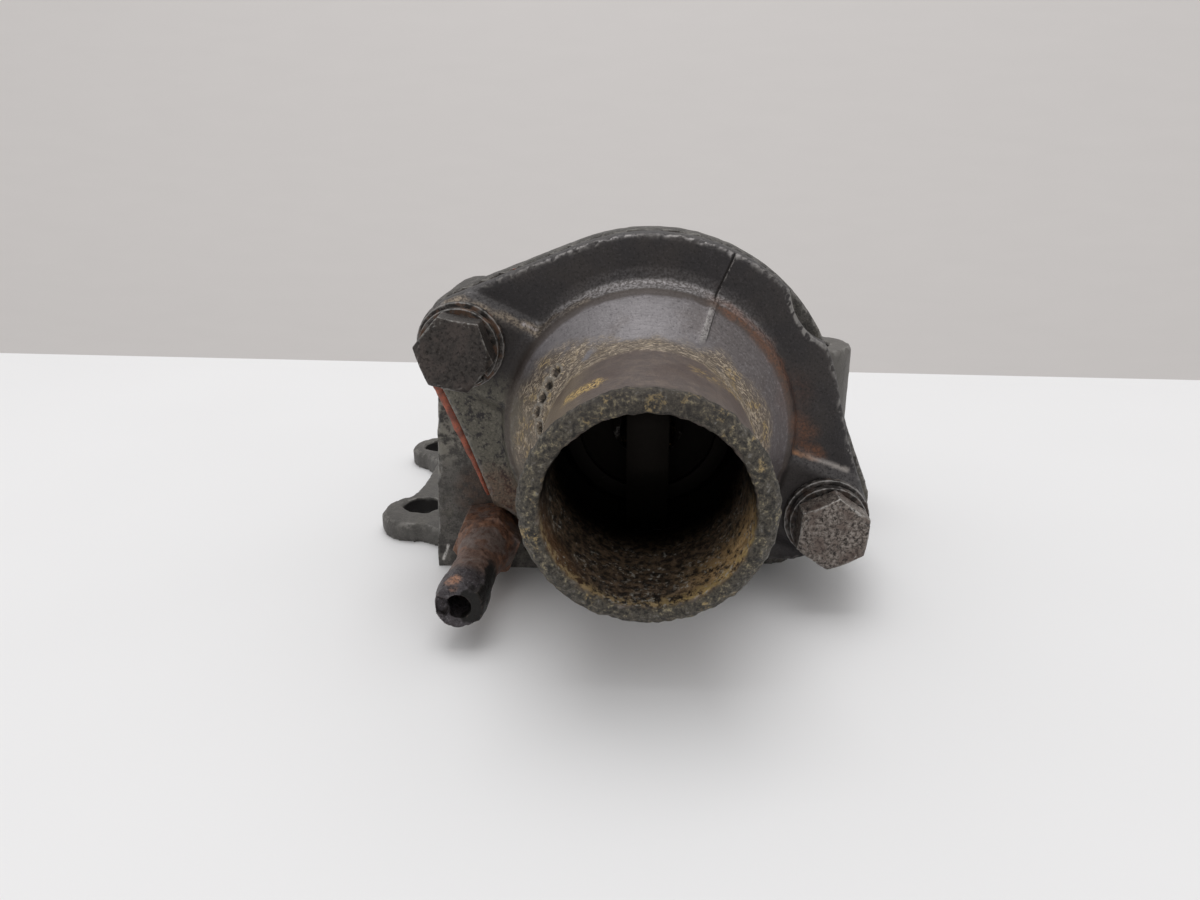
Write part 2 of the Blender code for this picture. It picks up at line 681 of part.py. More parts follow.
def rib_outline():
    """The rear rib seen from the side, as (y, z) points."""
    end = CHAMBER_DEPTH + CHAMBER_WALL
    foot = BASE_THICKNESS / 2
    inside = end - CHAMBER_WALL
    return [(inside, foot), (end + REAR_RIB_REACH, foot), (end + REAR_RIB_REACH, BASE_THICKNESS),
            (end - CHAMBER_WALL / 4, BORE_HEIGHT), (inside, BORE_HEIGHT)]


def rear_rib():
    bm = extruded(rib_outline(), -REAR_RIB_THICKNESS / 2, REAR_RIB_THICKNESS / 2, up=True)
    turn = Matrix(((0, 0, 1), (1, 0, 0), (0, 1, 0)))
    bmesh.ops.transform(bm, matrix=turn.to_4x4(), verts=bm.verts)
    return bm


def build_body(joint, bore):
    body = add_solid("housing_body", base_plate(), joint, "cast_body")
    outline = flange_outline(BODY_RIM, BODY_FLANGE_BOTTOM, BODY_UPPER_BOSS_RADIUS, BODY_LOWER_BOSS_RADIUS)
    flange = extruded(outline, 0, BODY_FLANGE_THICKNESS)
    rear = BODY_FLANGE_THICKNESS - SAME_PLACE
    soften(flange, lambda edge: all(vert.co.y > rear for vert in edge.verts), BODY_EDGE_ROUND, 1)
    block = extruded(block_outline(BLOCK_HEIGHT, BLOCK_RIGHT), 0, BODY_FLANGE_THICKNESS)
    nipple_face = block_outline(NIPPLE_BLOCK_HEIGHT, NIPPLE_BLOCK_INNER)
    nipple_block = extruded(nipple_face, FIT_GAP, NIPPLE_BLOCK_DEPTH)
    soften(nipple_block, block_rear_edge, NIPPLE_BLOCK_ROUND)
    web_outline = [
        (CHAMBER_RADIUS, TALL_BOSS.y - WEB_THICKNESS / 2),
        (TALL_BOSS.x, TALL_BOSS.y - WEB_THICKNESS / 2),
        (TALL_BOSS.x, TALL_BOSS.y + WEB_THICKNESS / 2),
        (CHAMBER_RADIUS, TALL_BOSS.y + WEB_THICKNESS / 2),
    ]
    port_foot, port_middle, port_top = (
        (0, PORT_SETBACK, level) for level in (-BASE_THICKNESS, BASE_THICKNESS / 2, BASE_THICKNESS * 4)
    )
    port_wall = rod(port_middle, port_top, PORT_RADIUS + PORT_WALL, MIDDLE_STEPS)
    boss = tall_boss_profile(TALL_BOSS_RADIUS, BASE_THICKNESS / 2, TALL_BOSS_HEIGHT, TALL_BOSS_CHAMFER)
    forms = [
        add_solid("body_flange_form", flange, bore),
        add_solid("block_form", block, joint),
        add_solid("nipple_block_form", nipple_block, joint),
        add_solid("chamber_form", turned(chamber_outer_profile(), LARGE_STEPS, closed=False), bore),
        add_solid("port_form", port_wall, joint),
        add_solid("tall_boss_form", upright(boss, MIDDLE_STEPS), joint, location=(*TALL_BOSS, 0)),
        add_solid("web_form", extruded(web_outline, BASE_THICKNESS / 3, WEB_HEIGHT, up=True), joint),
        add_solid("rear_rib_form", rear_rib(), joint),
    ]
    for name, (x, z) in bolt_places().items():
        backing = rod((x, FIT_GAP, z), (x, BOLT_BACKING_DEPTH, z), BOLT_BACKING_RADIUS, MIDDLE_STEPS)
        forms.append(add_solid(f"bolt_backing_{name}", backing, bore))
    combine(body, forms, "UNION")

    cuts = [
        add_solid("chamber_cut", turned(chamber_inner_profile(), LARGE_STEPS, closed=False), bore),
        add_solid("port_cut", rod(port_foot, port_top, PORT_RADIUS, MIDDLE_STEPS), joint),
    ]
    bolt_depth = BOLT_LENGTH + HEAD_BACK + DRILL_SPARE
    for name, (x, z) in bolt_places().items():
        hole = rod((x, -CUT_OVERSHOOT, z), (x, bolt_depth, z), BOLT_RADIUS + FIT_GAP, SMALL_STEPS)
        cuts.append(add_solid(f"body_hole_{name}", hole, bore))
    holes = {
        "front_ear": (FRONT_EAR, EAR_HOLE_RADIUS, BASE_THICKNESS),
        "rear_ear": (REAR_EAR, EAR_HOLE_RADIUS, BASE_THICKNESS),
        "tall_boss": (TALL_BOSS, TALL_BOSS_HOLE_RADIUS, TALL_BOSS_HEIGHT),
    }
    for name, (place, radius, top) in holes.items():
        hole = rod((*place, -BASE_THICKNESS), (*place, top + BASE_THICKNESS), radius, MIDDLE_STEPS)
        cuts.append(add_solid(f"{name}_hole", hole, joint))
    nipple_end = NIPPLE_THREAD_LENGTH + DRILL_SPARE
    socket = rod(
        (-NIPPLE_SIDE, -CUT_OVERSHOOT, NIPPLE_HEIGHT), (-NIPPLE_SIDE, nipple_end, NIPPLE_HEIGHT),
        NIPPLE_THREAD_RADIUS + FIT_GAP, SMALL_STEPS,
    )
    passage = rod(
        (-NIPPLE_SIDE, nipple_end - 3 * DRILL_SPARE, NIPPLE_HEIGHT),
        (-CHAMBER_RADIUS * 0.66, NIPPLE_BLOCK_DEPTH * 0.8, BORE_HEIGHT - CHAMBER_RADIUS * 0.56),
        VENT_PASSAGE_RADIUS, 12,
    )
    cuts.append(add_solid("nipple_socket", socket, joint))
    cuts.append(add_solid("vent_passage", passage, joint))
    combine(body, cuts, "DIFFERENCE")


# Fasteners
def build_bolt(name, frame, turn):
    head = extruded(hexagon(HEAD_ACROSS_FLATS, turn), HEAD_BACK - HEAD_HEIGHT, HEAD_BACK)
    bolt = add_solid(f"bolt_{name}", head, frame, "bolt_steel")
    corner = HEAD_ACROSS_FLATS / 2 / math.cos(math.pi / 6)
    face = HEAD_BACK - HEAD_HEIGHT
    chamfer = [
        (0, face - FIT_GAP),
        (corner - 1.6 * HEAD_CHAMFER - FIT_GAP, face - FIT_GAP),
        (corner + HEAD_CHAMFER, face + HEAD_CHAMFER * 1.3),
        (corner + HEAD_CHAMFER, HEAD_BACK + FIT_GAP),
        (0, HEAD_BACK + FIT_GAP),
    ]
    rounding = add_solid(f"head_chamfer_{name}", turned(chamfer, MIDDLE_STEPS, closed=False), frame)
    combine(bolt, [rounding], "INTERSECT")
    tip = HEAD_BACK + BOLT_LENGTH
    shank = [
        (0, HEAD_BACK - HEAD_HEIGHT / 2),
        (BOLT_RADIUS, HEAD_BACK - HEAD_HEIGHT / 2),
        (BOLT_RADIUS, tip - BOLT_TIP_CHAMFER),
        (BOLT_RADIUS - BOLT_TIP_CHAMFER, tip),
        (0, tip),
    ]
    plain_shank = add_solid(f"shank_form_{name}", turned(shank, SMALL_STEPS, closed=False), frame)
    combine(bolt, [plain_shank], "UNION")


def ring(inner, outer, front, back, steps):
    return turned([(inner, front), (outer, front), (outer, back), (inner, back)], steps)


def build_washers(name, frame, turn):
    inner = BOLT_RADIUS + FIT_GAP
    flat = ring(inner, FLAT_WASHER_RADIUS, WASHER_BACK - FLAT_WASHER_THICKNESS, WASHER_BACK, MIDDLE_STEPS)
    add_solid(f"flat_washer_{name}", flat, frame, "washer_steel")
    lock = ring(inner, LOCK_WASHER_RADIUS, LOCK_BACK - LOCK_WASHER_THICKNESS, LOCK_BACK, MIDDLE_STEPS)
    washer = add_solid(f"lock_washer_{name}", lock, frame, "washer_steel")
    half = LOCK_WASHER_SPLIT / 2
    slot_outline = [(0, -half), (2 * LOCK_WASHER_RADIUS, -half), (2 * LOCK_WASHER_RADIUS, half), (0, half)]
    slot = extruded(slot_outline, LOCK_BACK - 2 * LOCK_WASHER_THICKNESS, LOCK_BACK + LOCK_WASHER_THICKNESS)
    combine(washer, [add_solid(f"washer_slot_{name}", slot, frame, rotation=(0, turn, 0))], "DIFFERENCE")


# Hose nipple, with the broken edge of its end
def build_nipple(joint):
    place = (-NIPPLE_SIDE, 0, NIPPLE_HEIGHT)
    hex_back = -FIT_GAP
    hex_front = hex_back - NIPPLE_HEX_LENGTH
    neck = hex_front - NIPPLE_SHOULDER
    tip = -NIPPLE_REACH
    swell = NIPPLE_END_RADIUS - NIPPLE_TUBE_RADIUS
    hex_outline = hexagon(NIPPLE_HEX_ACROSS, NIPPLE_HEX_TURN)
    collar = NIPPLE_HEX_ACROSS / 2 - NIPPLE_COLLAR_INSET
    nipple = add_solid("hose_nipple", extruded(hex_outline, hex_front, hex_back), joint, "rusty_steel", place)
    profile = [
        (0, hex_front + NIPPLE_HEX_LENGTH / 2),
        (collar, hex_front + NIPPLE_HEX_LENGTH / 2),
        (collar, hex_front - NIPPLE_SHOULDER * 0.10),
        (collar - swell, hex_front - NIPPLE_SHOULDER * 0.45),
        (NIPPLE_TUBE_RADIUS + swell, neck),
        (NIPPLE_TUBE_RADIUS, neck - NIPPLE_NECK_ROUND),
        (NIPPLE_TUBE_RADIUS + swell * 0.3, tip + NIPPLE_SWELL_LENGTH),
        (NIPPLE_END_RADIUS, tip + NIPPLE_SWELL_LENGTH * 0.6),
        (NIPPLE_END_RADIUS, tip + NIPPLE_SWELL_LENGTH * 0.3),
        (NIPPLE_TUBE_RADIUS + swell * 0.4, tip + FIT_GAP),
        (NIPPLE_TUBE_RADIUS, tip),
        (0, tip),
    ]
    stem = [
        (0, hex_front + NIPPLE_HEX_LENGTH / 2),
        (NIPPLE_THREAD_RADIUS, hex_front + NIPPLE_HEX_LENGTH / 2),
        (NIPPLE_THREAD_RADIUS, NIPPLE_THREAD_LENGTH),
        (0, NIPPLE_THREAD_LENGTH),
    ]
    tube = add_solid("nipple_tube_form", turned(profile, MIDDLE_STEPS, closed=False), joint, location=place)
    thread = add_solid("nipple_thread_form", turned(stem, SMALL_STEPS, closed=False), joint, location=place)
    combine(nipple, [tube, thread], "UNION")
    bore_end = NIPPLE_THREAD_LENGTH + DRILL_SPARE
    bore = rod((0, tip - DRILL_SPARE, 0), (0, bore_end, 0), NIPPLE_BORE_RADIUS, SMALL_STEPS)
    nick_place = Vector((-NIPPLE_TUBE_RADIUS, tip, NIPPLE_NICK / 3))
    nick_span = NIPPLE_NICK * Vector((1.6, 0.53, -0.6))
    nick = rod(nick_place - nick_span, nick_place + nick_span, NIPPLE_NICK, 8)
    cuts = [
        add_solid("nipple_bore", bore, joint, location=place),
        add_solid("nipple_nick", nick, joint, location=place),
    ]
    combine(nipple, cuts, "DIFFERENCE")


# Sealant film between the faces, with the bead that was squeezed out
def side_points(offset):
    """Points down the flange's left side, moved out by an offset, as far as the cut round the nipple."""
    line = [Vector(point) for point in left_side(offset, COVER_BOSS_RADIUS + offset)]
    relief_top = NIPPLE_HEIGHT - BORE_HEIGHT + NIPPLE_RELIEF_RADIUS
    low = max(relief_top + BEAD_END_GAP, line[-1].y)
    points = []
    for i in range(BEAD_STEPS + 1):
        level = line[0].y + (low - line[0].y) * i / BEAD_STEPS
        above, below = next(pair for pair in zip(line, line[1:]) if pair[1].y <= level + SAME_PLACE)
        points.append(above.lerp(below, (above.y - level) / (above.y - below.y)))
    return points


def build_sealant(joint, bore):
    front, back = COVER_BACK + FIT_GAP, -FIT_GAP
    sealant = add_solid("joint_sealant", extruded(cover_outline(-SEALANT_INSET), front, back), bore, "sealant")
    inner = side_points(-2 * SEALANT_INSET)
    outer = side_points(FIT_GAP + BEAD_RADIUS)
    tongue_outline = [tuple(point) for point in inner + outer[::-1]]
    tongue = add_solid("sealant_tongue", extruded(tongue_outline, front, back), bore)
    bead_y = back - BEAD_RADIUS
    bead = bmesh.new()
    rings = []
    for i, (x, z) in enumerate(outer):
        radius = BEAD_RADIUS * (1 - BEAD_TAPER * (i / BEAD_STEPS) ** 2)
        out = (outer[i] - inner[i]).normalized()
        circle = [
            bead.verts.new((
                x + out.x * radius * math.cos(turn),
                bead_y + radius * math.sin(turn),
                z + out.y * radius * math.cos(turn),
            ))
            for turn in (math.tau * k / BEAD_SIDES for k in range(BEAD_SIDES))
        ]
        rings.append(circle)
    for ring_a, ring_b in zip(rings, rings[1:]):
        for k in range(BEAD_SIDES):
            bead.faces.new((ring_a[k], ring_a[k - 1], ring_b[k - 1], ring_b[k]))
    bead.faces.new(rings[0])
    bead.faces.new(rings[-1])
    blob_out = Vector((math.cos(BLOB_ANGLE), 0, math.sin(BLOB_ANGLE)))
    blob_level = Vector((0, (front + back) / 2, 0))
    blob_root = blob_level + blob_out * (FLANGE_RADIUS - BLOB_ROOT)
    blob = rod(blob_root, blob_level + blob_out * (FLANGE_RADIUS + BLOB_REACH), BLOB_RADIUS, 8)
    pressed_out = [add_solid("sealant_bead", bead, bore), add_solid("sealant_blob", blob, bore)]
    combine(sealant, [tongue, *pressed_out], "UNION")
    opening = rod((0, -PAD_FRONT, 0), (0, PAD_FRONT, 0), SEAL_RADIUS + 2 * FIT_GAP, LARGE_STEPS)
    cuts = [
        add_solid("sealant_opening", opening, bore),
        nipple_relief("sealant_relief", joint),
        scallop("sealant_scallop", bore, SEALANT_INSET),
    ]
    for name, (x, z) in bolt_places().items():
        hole = rod((x, -PAD_FRONT, z), (x, PAD_FRONT, z), BOLT_RADIUS + 2 * FIT_GAP, SMALL_STEPS)
        cuts.append(add_solid(f"sealant_hole_{name}", hole, bore))
    combine(sealant, cuts, "DIFFERENCE")


# Wax valve: the parts that stay in the joint
def strap(path, thickness, width, turn):
    """Bends a flat strap along (radius, y) points, mirrors it over the axis and turns it round the axis."""
    half = [Vector(point) for point in path]
    full = [Vector((-p.x, p.y)) for p in half] + [Vector(p) for p in reversed(half)]
    sides = ([], [])
    for i, point in enumerate(full):
        before = full[max(i - 1, 0)]
        after = full[min(i + 1, len(full) - 1)]
        first = (point - before).normalized() if i else (after - point).normalized()
        second = (after - point).normalized() if i < len(full) - 1 else first
        along = (first + second).normalized()
        normal = Vector((-along.y, along.x))
        reach = thickness / 2 / max(along.dot(first), 0.5)
        sides[0].append(tuple(point + normal * reach))
        sides[1].append(tuple(point - normal * reach))
    bm = extruded(sides[0] + sides[1][::-1], -width / 2, width / 2, up=True)
    bmesh.ops.rotate(bm, verts=bm.verts, cent=(0, 0, 0), matrix=Matrix.Rotation(turn, 3, "Y"))
    return bm


def build_plate(valve):
    dish_back = PLATE_BACK - DISH_HEIGHT
    dish_front = PLATE_FRONT - DISH_HEIGHT
    profile = [
        (PLATE_RADIUS, PLATE_BACK),
        (DISH_OUTER_RADIUS, PLATE_BACK),
        (DISH_INNER_RADIUS, dish_back),
        (SEAT_OPENING_RADIUS, dish_back),
        (SEAT_OPENING_RADIUS, dish_front),
        (DISH_INNER_RADIUS - 0.0006, dish_front),
        (DISH_OUTER_RADIUS - 0.0006, PLATE_FRONT),
        (PLATE_RADIUS, PLATE_FRONT),
    ]
    plate = add_solid("valve_plate", turned(profile, VALVE_STEPS), valve, "plate_steel")
    x, z = jiggle_place()
    hole = rod((x, -PAD_FRONT, z), (x, PAD_FRONT, z), JIGGLE_STEM_RADIUS + FIT_GAP, SMALL_STEPS)
    combine(plate, [add_solid("jiggle_hole", hole, valve)], "DIFFERENCE")


def build_seal(valve):
    slot_radius = PLATE_RADIUS + FIT_GAP
    profile = [
        (SEAL_INNER_RADIUS, SEAL_FRONT),
        (SEAL_RADIUS, SEAL_FRONT),
        (SEAL_RADIUS, SEAL_BACK),
        (SEAL_INNER_RADIUS, SEAL_BACK),
        (SEAL_INNER_RADIUS, PLATE_BACK + FIT_GAP),
        (slot_radius, PLATE_BACK + FIT_GAP),
        (slot_radius, PLATE_FRONT - FIT_GAP),
        (SEAL_INNER_RADIUS, PLATE_FRONT - FIT_GAP),
    ]
    add_solid("plate_seal", turned(profile, VALVE_STEPS), valve, "rubber")


def build_bridge(valve):
    foot = PLATE_FRONT - FIT_GAP - STRAP_THICKNESS / 2
    outer = SEAL_INNER_RADIUS - FIT_GAP - STRAP_INSET
    top = -BRIDGE_HEIGHT - STRAP_THICKNESS / 2
    path = [
        (outer, foot),
        (outer - STRAP_FOOT, foot),
        (outer - STRAP_FOOT - STRAP_BEND * 2 / 3, foot - STRAP_BEND),
        (outer - STRAP_FOOT - BRIDGE_LEAN, top * 0.55),
        (BRIDGE_TOP_HALF, top + STRAP_BEND / 6),
        (BRIDGE_TOP_HALF * 2 / 3, top),
    ]
    upright_strap = strap(path, STRAP_THICKNESS, STRAP_WIDTH, math.pi / 2)
    bridge = add_solid("piston_bridge", upright_strap, valve, "plate_steel")
    floor = -BRIDGE_HEIGHT - PISTON_RADIUS * 0.4
    rim = -BRIDGE_HEIGHT + PISTON_RADIUS * 0.2
    cone = [(0, floor), (PISTON_RADIUS * 0.6, floor), (PISTON_RADIUS * 1.3, rim), (0, rim)]
    dimple = turned(cone, MIDDLE_STEPS // 2, closed=False)
    combine(bridge, [add_solid("bridge_dimple", dimple, valve)], "DIFFERENCE")


def build_frame(valve):
    foot = PLATE_BACK + FIT_GAP + STRAP_THICKNESS / 2
    outer = SEAL_INNER_RADIUS - FIT_GAP - STRAP_INSET
    ring_level = FRAME_DEPTH + STRAP_THICKNESS / 2
    path = [
        (outer, foot),
        (outer - STRAP_FOOT, foot),
        (outer - STRAP_FOOT - STRAP_BEND, foot + STRAP_BEND),
        (FRAME_RING_RADIUS + STRAP_BEND, ring_level - STRAP_BEND),
        (FRAME_RING_RADIUS, ring_level),
        (CAPSULE_RADIUS, ring_level),
    ]
    frame = add_solid("spring_frame", strap(path, STRAP_THICKNESS, STRAP_WIDTH, 0), valve, "plate_steel")
    seat_back = FRAME_DEPTH + STRAP_THICKNESS + FRAME_RING_RELIEF
    seat = rod((0, FRAME_DEPTH - FRAME_RING_RELIEF, 0), (0, seat_back, 0), FRAME_RING_RADIUS, MIDDLE_STEPS)
    hole_ends = ((0, level, 0) for level in (FRAME_DEPTH - STRAP_THICKNESS, seat_back + STRAP_THICKNESS))
    hole = rod(*hole_ends, CAPSULE_RADIUS + FRAME_HOLE_CLEARANCE, MIDDLE_STEPS)
    combine(frame, [add_solid("frame_seat_form", seat, valve)], "UNION")
    combine(frame, [add_solid("frame_hole", hole, valve)], "DIFFERENCE")


def build_piston(valve):
    tip = -BRIDGE_HEIGHT + FIT_GAP
    profile = [
        (0, tip - 0.0004),
        (PISTON_RADIUS * 0.4, tip - 0.0004),
        (PISTON_RADIUS, tip + 0.0010),
        (PISTON_RADIUS, PISTON_INSERTION - 0.0005),
        (PISTON_RADIUS - 0.0005, PISTON_INSERTION),
        (0, PISTON_INSERTION),
    ]
    add_solid("piston", turned(profile, SMALL_STEPS, closed=False), valve, "spring_steel")


# Wax valve: the parts that move together along the axis
def build_capsule(valve):
    bore = PISTON_RADIUS + FIT_GAP
    top = COLLAR_FRONT + FIT_GAP
    socket = COLLAR_RADIUS + FIT_GAP
    floor = COLLAR_BACK + FIT_GAP
    profile = [
        (0, PISTON_INSERTION + DRILL_SPARE),
        (bore, PISTON_INSERTION + DRILL_SPARE),
        (bore, floor),
        (socket, floor),
        (socket, top),
        (socket + CAPSULE_LIP, top),
        (socket + CAPSULE_LIP, floor + 0.0010),
        (CAPSULE_RADIUS, floor + 0.0020),
        (CAPSULE_RADIUS, CAPSULE_END - CAPSULE_END_ROUND),
        (CAPSULE_RADIUS - CAPSULE_END_ROUND * 0.3, CAPSULE_END - CAPSULE_END_ROUND * 0.3),
        (CAPSULE_RADIUS - CAPSULE_END_ROUND, CAPSULE_END),
        (0, CAPSULE_END),
    ]
    add_solid("wax_capsule", turned(profile, MIDDLE_STEPS, closed=False), valve, "brass")


def build_guide(valve):
    clip_back = DISC_FRONT - FIT_GAP
    groove = GUIDE_RADIUS - GROOVE_DEPTH
    profile = [
        (PISTON_RADIUS + FIT_GAP, -GUIDE_REACH),
        (GUIDE_NOSE_RADIUS, -GUIDE_REACH),
        (GUIDE_NOSE_RADIUS + 0.0008, -GUIDE_REACH + 0.0010),
        (GUIDE_RADIUS, -GUIDE_REACH + 0.0020),
        (GUIDE_RADIUS, clip_back - CLIP_THICKNESS - FIT_GAP),
        (groove, clip_back - CLIP_THICKNESS - FIT_GAP),
        (groove, DISC_FRONT),
        (GUIDE_RADIUS, DISC_FRONT),
        (GUIDE_RADIUS, COLLAR_FRONT),
        (COLLAR_RADIUS, COLLAR_FRONT),
        (COLLAR_RADIUS, COLLAR_BACK),
        (PISTON_RADIUS + FIT_GAP, COLLAR_BACK),
    ]
    add_solid("capsule_guide", turned(profile, SMALL_STEPS), valve, "brass")
    clip_inner = groove + FIT_GAP
    clip = ring(clip_inner, clip_inner + CLIP_WIDTH, clip_back - CLIP_THICKNESS, clip_back, MIDDLE_STEPS)
    add_solid("disc_clip", clip, valve, "spring_steel")


def build_disc(valve):
    profile = [
        (GUIDE_RADIUS + FIT_GAP, DISC_FRONT),
        (DISC_RADIUS - 0.0006, DISC_FRONT),
        (DISC_RADIUS, DISC_FRONT + 0.0006),
        (DISC_RADIUS, DISC_FRONT + DISC_RIM_DEPTH),
        (DISC_RADIUS - DISC_THICKNESS, DISC_FRONT + DISC_RIM_DEPTH),
        (DISC_RADIUS - DISC_THICKNESS, DISC_BACK),
        (GUIDE_RADIUS + FIT_GAP, DISC_BACK),
    ]
    add_solid("valve_disc", turned(profile, VALVE_STEPS), valve, "plate_steel")


def build_spring(valve):
    """A round wire wound on a helix, with both ends cut square."""
    start = DISC_BACK + FIT_GAP + SPRING_WIRE_RADIUS
    end = FRAME_DEPTH - FRAME_RING_RELIEF - FIT_GAP - SPRING_WIRE_RADIUS
    steps = int(SPRING_TURNS * SPRING_STEPS)
    sides = SPRING_SIDES
    bm = bmesh.new()
    rings = []
    for i in range(steps + 1):
        turn = math.tau * SPRING_TURNS * i / steps
        out = Vector((math.cos(turn), 0, math.sin(turn)))
        centre = out * SPRING_COIL_RADIUS + Vector((0, start + (end - start) * i / steps, 0))
        rings.append([
            bm.verts.new(
                centre
                + out * SPRING_WIRE_RADIUS * math.cos(math.tau * k / sides)
                + Vector((0, SPRING_WIRE_RADIUS * math.sin(math.tau * k / sides), 0))
            )
            for k in range(sides)
        ])
    for ring_a, ring_b in zip(rings, rings[1:]):
        for k in range(sides):
            bm.faces.new((ring_a[k], ring_a[k - 1], ring_b[k - 1], ring_b[k]))
    bm.faces.new(rings[0])
    bm.faces.new(rings[-1])
    add_solid("main_spring", bm, valve, "spring_steel")


def jiggle_place():
    return JIGGLE_PLACE_RADIUS * math.cos(JIGGLE_ANGLE), JIGGLE_PLACE_RADIUS * math.sin(JIGGLE_ANGLE)


def build_jiggle_pin(valve):
    """A loose pin with a head on each side of the plate. The space behind the plate is its travel."""
    x, z = jiggle_place()
    head_back = PLATE_FRONT - FIT_GAP
    bulb_front = PLATE_BACK + FIT_GAP + JIGGLE_TRAVEL
    profile = [
        (0, head_back - JIGGLE_HEAD_THICKNESS),
        (JIGGLE_HEAD_RADIUS * 0.7, head_back - JIGGLE_HEAD_THICKNESS),
        (JIGGLE_HEAD_RADIUS, head_back - JIGGLE_HEAD_THICKNESS * 0.5),
        (JIGGLE_HEAD_RADIUS, head_back),
        (JIGGLE_STEM_RADIUS, head_back),
        (JIGGLE_STEM_RADIUS, bulb_front),
        (JIGGLE_HEAD_RADIUS, bulb_front),
        (JIGGLE_HEAD_RADIUS, bulb_front + JIGGLE_HEAD_THICKNESS * 0.5),
        (JIGGLE_HEAD_RADIUS * 0.7, bulb_front + JIGGLE_HEAD_THICKNESS),
        (0, bulb_front + JIGGLE_HEAD_THICKNESS),
    ]
    add_solid("jiggle_pin", turned(profile, 16, closed=False), valve, "brass", location=(x, 0, z))


def main():
    clear_scene()
    joint = add_frame("joint_face", (0, -JOINT_SETBACK, 0))
    bore = add_frame("bore_axis", (0, 0, BORE_HEIGHT), parent=joint)
    neck_rise = NECK_RISE + PAD_FRONT * math.tan(NECK_TILT)
    neck = add_frame("neck_axis", (0, 0, neck_rise), (NECK_TILT, 0, 0), bore)
    valve = add_frame("valve_axis", (0, 0, 0), parent=bore)

    build_body(joint, bore)
    build_cover(joint, bore, neck)
    build_sealant(joint, bore)
    build_nipple(joint)
    turns = {"upper_left": UPPER_LEFT_TURN, "lower_right": LOWER_RIGHT_TURN}
    for name, (x, z) in bolt_places().items():
        frame = add_frame(f"bolt_axis_{name}", (x, 0, z), parent=bore)
        build_bolt(name, frame, turns[name])
        build_washers(name, frame, turns[name])

    build_plate(valve)
    build_seal(valve)
    build_bridge(valve)
    build_frame(valve)
    build_piston(valve)
    build_capsule(valve)
    build_guide(valve)
    build_disc(valve)
    build_spring(valve)
    build_jiggle_pin(valve)


main()
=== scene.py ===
# %% [markdown]
# A used thermostat housing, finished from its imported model.
# The real object is a cast aluminium housing with a bolted cover, a hose neck and a small steel nipple.
# It has been in an engine for years, so it is dark, stained, rusty in places and bare on its edges.
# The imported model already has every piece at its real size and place.
# This lesson gives each piece a cast, turned or pressed surface, and then a finish made of nodes.

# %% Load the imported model
import math

import bpy
import numpy as np
from mathutils import Matrix, Vector, noise
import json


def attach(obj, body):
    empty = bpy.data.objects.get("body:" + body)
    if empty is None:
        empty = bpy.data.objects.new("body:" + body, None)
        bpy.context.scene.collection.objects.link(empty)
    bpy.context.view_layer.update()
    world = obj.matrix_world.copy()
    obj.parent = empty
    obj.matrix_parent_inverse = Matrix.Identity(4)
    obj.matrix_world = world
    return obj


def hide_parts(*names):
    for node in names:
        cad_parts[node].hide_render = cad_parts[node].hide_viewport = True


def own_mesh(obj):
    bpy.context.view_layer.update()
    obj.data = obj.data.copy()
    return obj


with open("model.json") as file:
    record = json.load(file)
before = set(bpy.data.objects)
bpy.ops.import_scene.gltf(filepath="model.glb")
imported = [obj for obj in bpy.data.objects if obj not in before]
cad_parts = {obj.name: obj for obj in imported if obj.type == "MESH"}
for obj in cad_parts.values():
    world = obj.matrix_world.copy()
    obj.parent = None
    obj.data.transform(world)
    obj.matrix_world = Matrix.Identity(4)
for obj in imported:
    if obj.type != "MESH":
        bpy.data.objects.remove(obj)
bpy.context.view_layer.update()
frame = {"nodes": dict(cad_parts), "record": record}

MM = 0.001
print("pieces in the packed model:", len(frame["nodes"]))

# %% [markdown]
# The photograph is taken from close by, with a short lens, a little to the left and from above.
# The camera was solved from the corners of the two bolt heads and from the table's plane.
# It is set by its place and two angles, which is easier to check than a matrix of numbers.

# %% Camera at the photograph's viewpoint
PHOTO_WIDTH = 1200
FOCAL_PIXELS = 902
SENSOR_WIDTH_MM = 36
CAMERA_POINT = Vector((-0.87, -187, 91)) * MM
CAMERA_PITCH = math.radians(19.9)
CAMERA_YAW = math.radians(2.9)

right = Vector((math.cos(CAMERA_YAW), math.sin(CAMERA_YAW), 0))
level = Vector((-math.sin(CAMERA_YAW), math.cos(CAMERA_YAW), 0))
forward = level * math.cos(CAMERA_PITCH) - Vector((0, 0, math.sin(CAMERA_PITCH)))
up = right.cross(forward)

bpy.ops.object.select_all(action="DESELECT")
bpy.ops.object.camera_add()
camera = bpy.context.object
camera.name = "camera"
camera.data.sensor_width = SENSOR_WIDTH_MM
camera.data.lens = SENSOR_WIDTH_MM * FOCAL_PIXELS / PHOTO_WIDTH
camera.data.clip_start = 1 * MM
turn = Matrix((right, up, -forward)).transposed().to_4x4()
camera.matrix_world = Matrix.Translation(CAMERA_POINT) @ turn
bpy.context.scene.camera = camera
print("lens in mm:", round(camera.data.lens, 2))

# %% [markdown]
# Every finish here is a sum of simple patterns: noise, cells and soft steps.
# A small class wraps one socket and takes Python's own signs, so the sums read like ordinary ones.
# Reflected forms such as 1 - mask are included, because they are what one writes most.

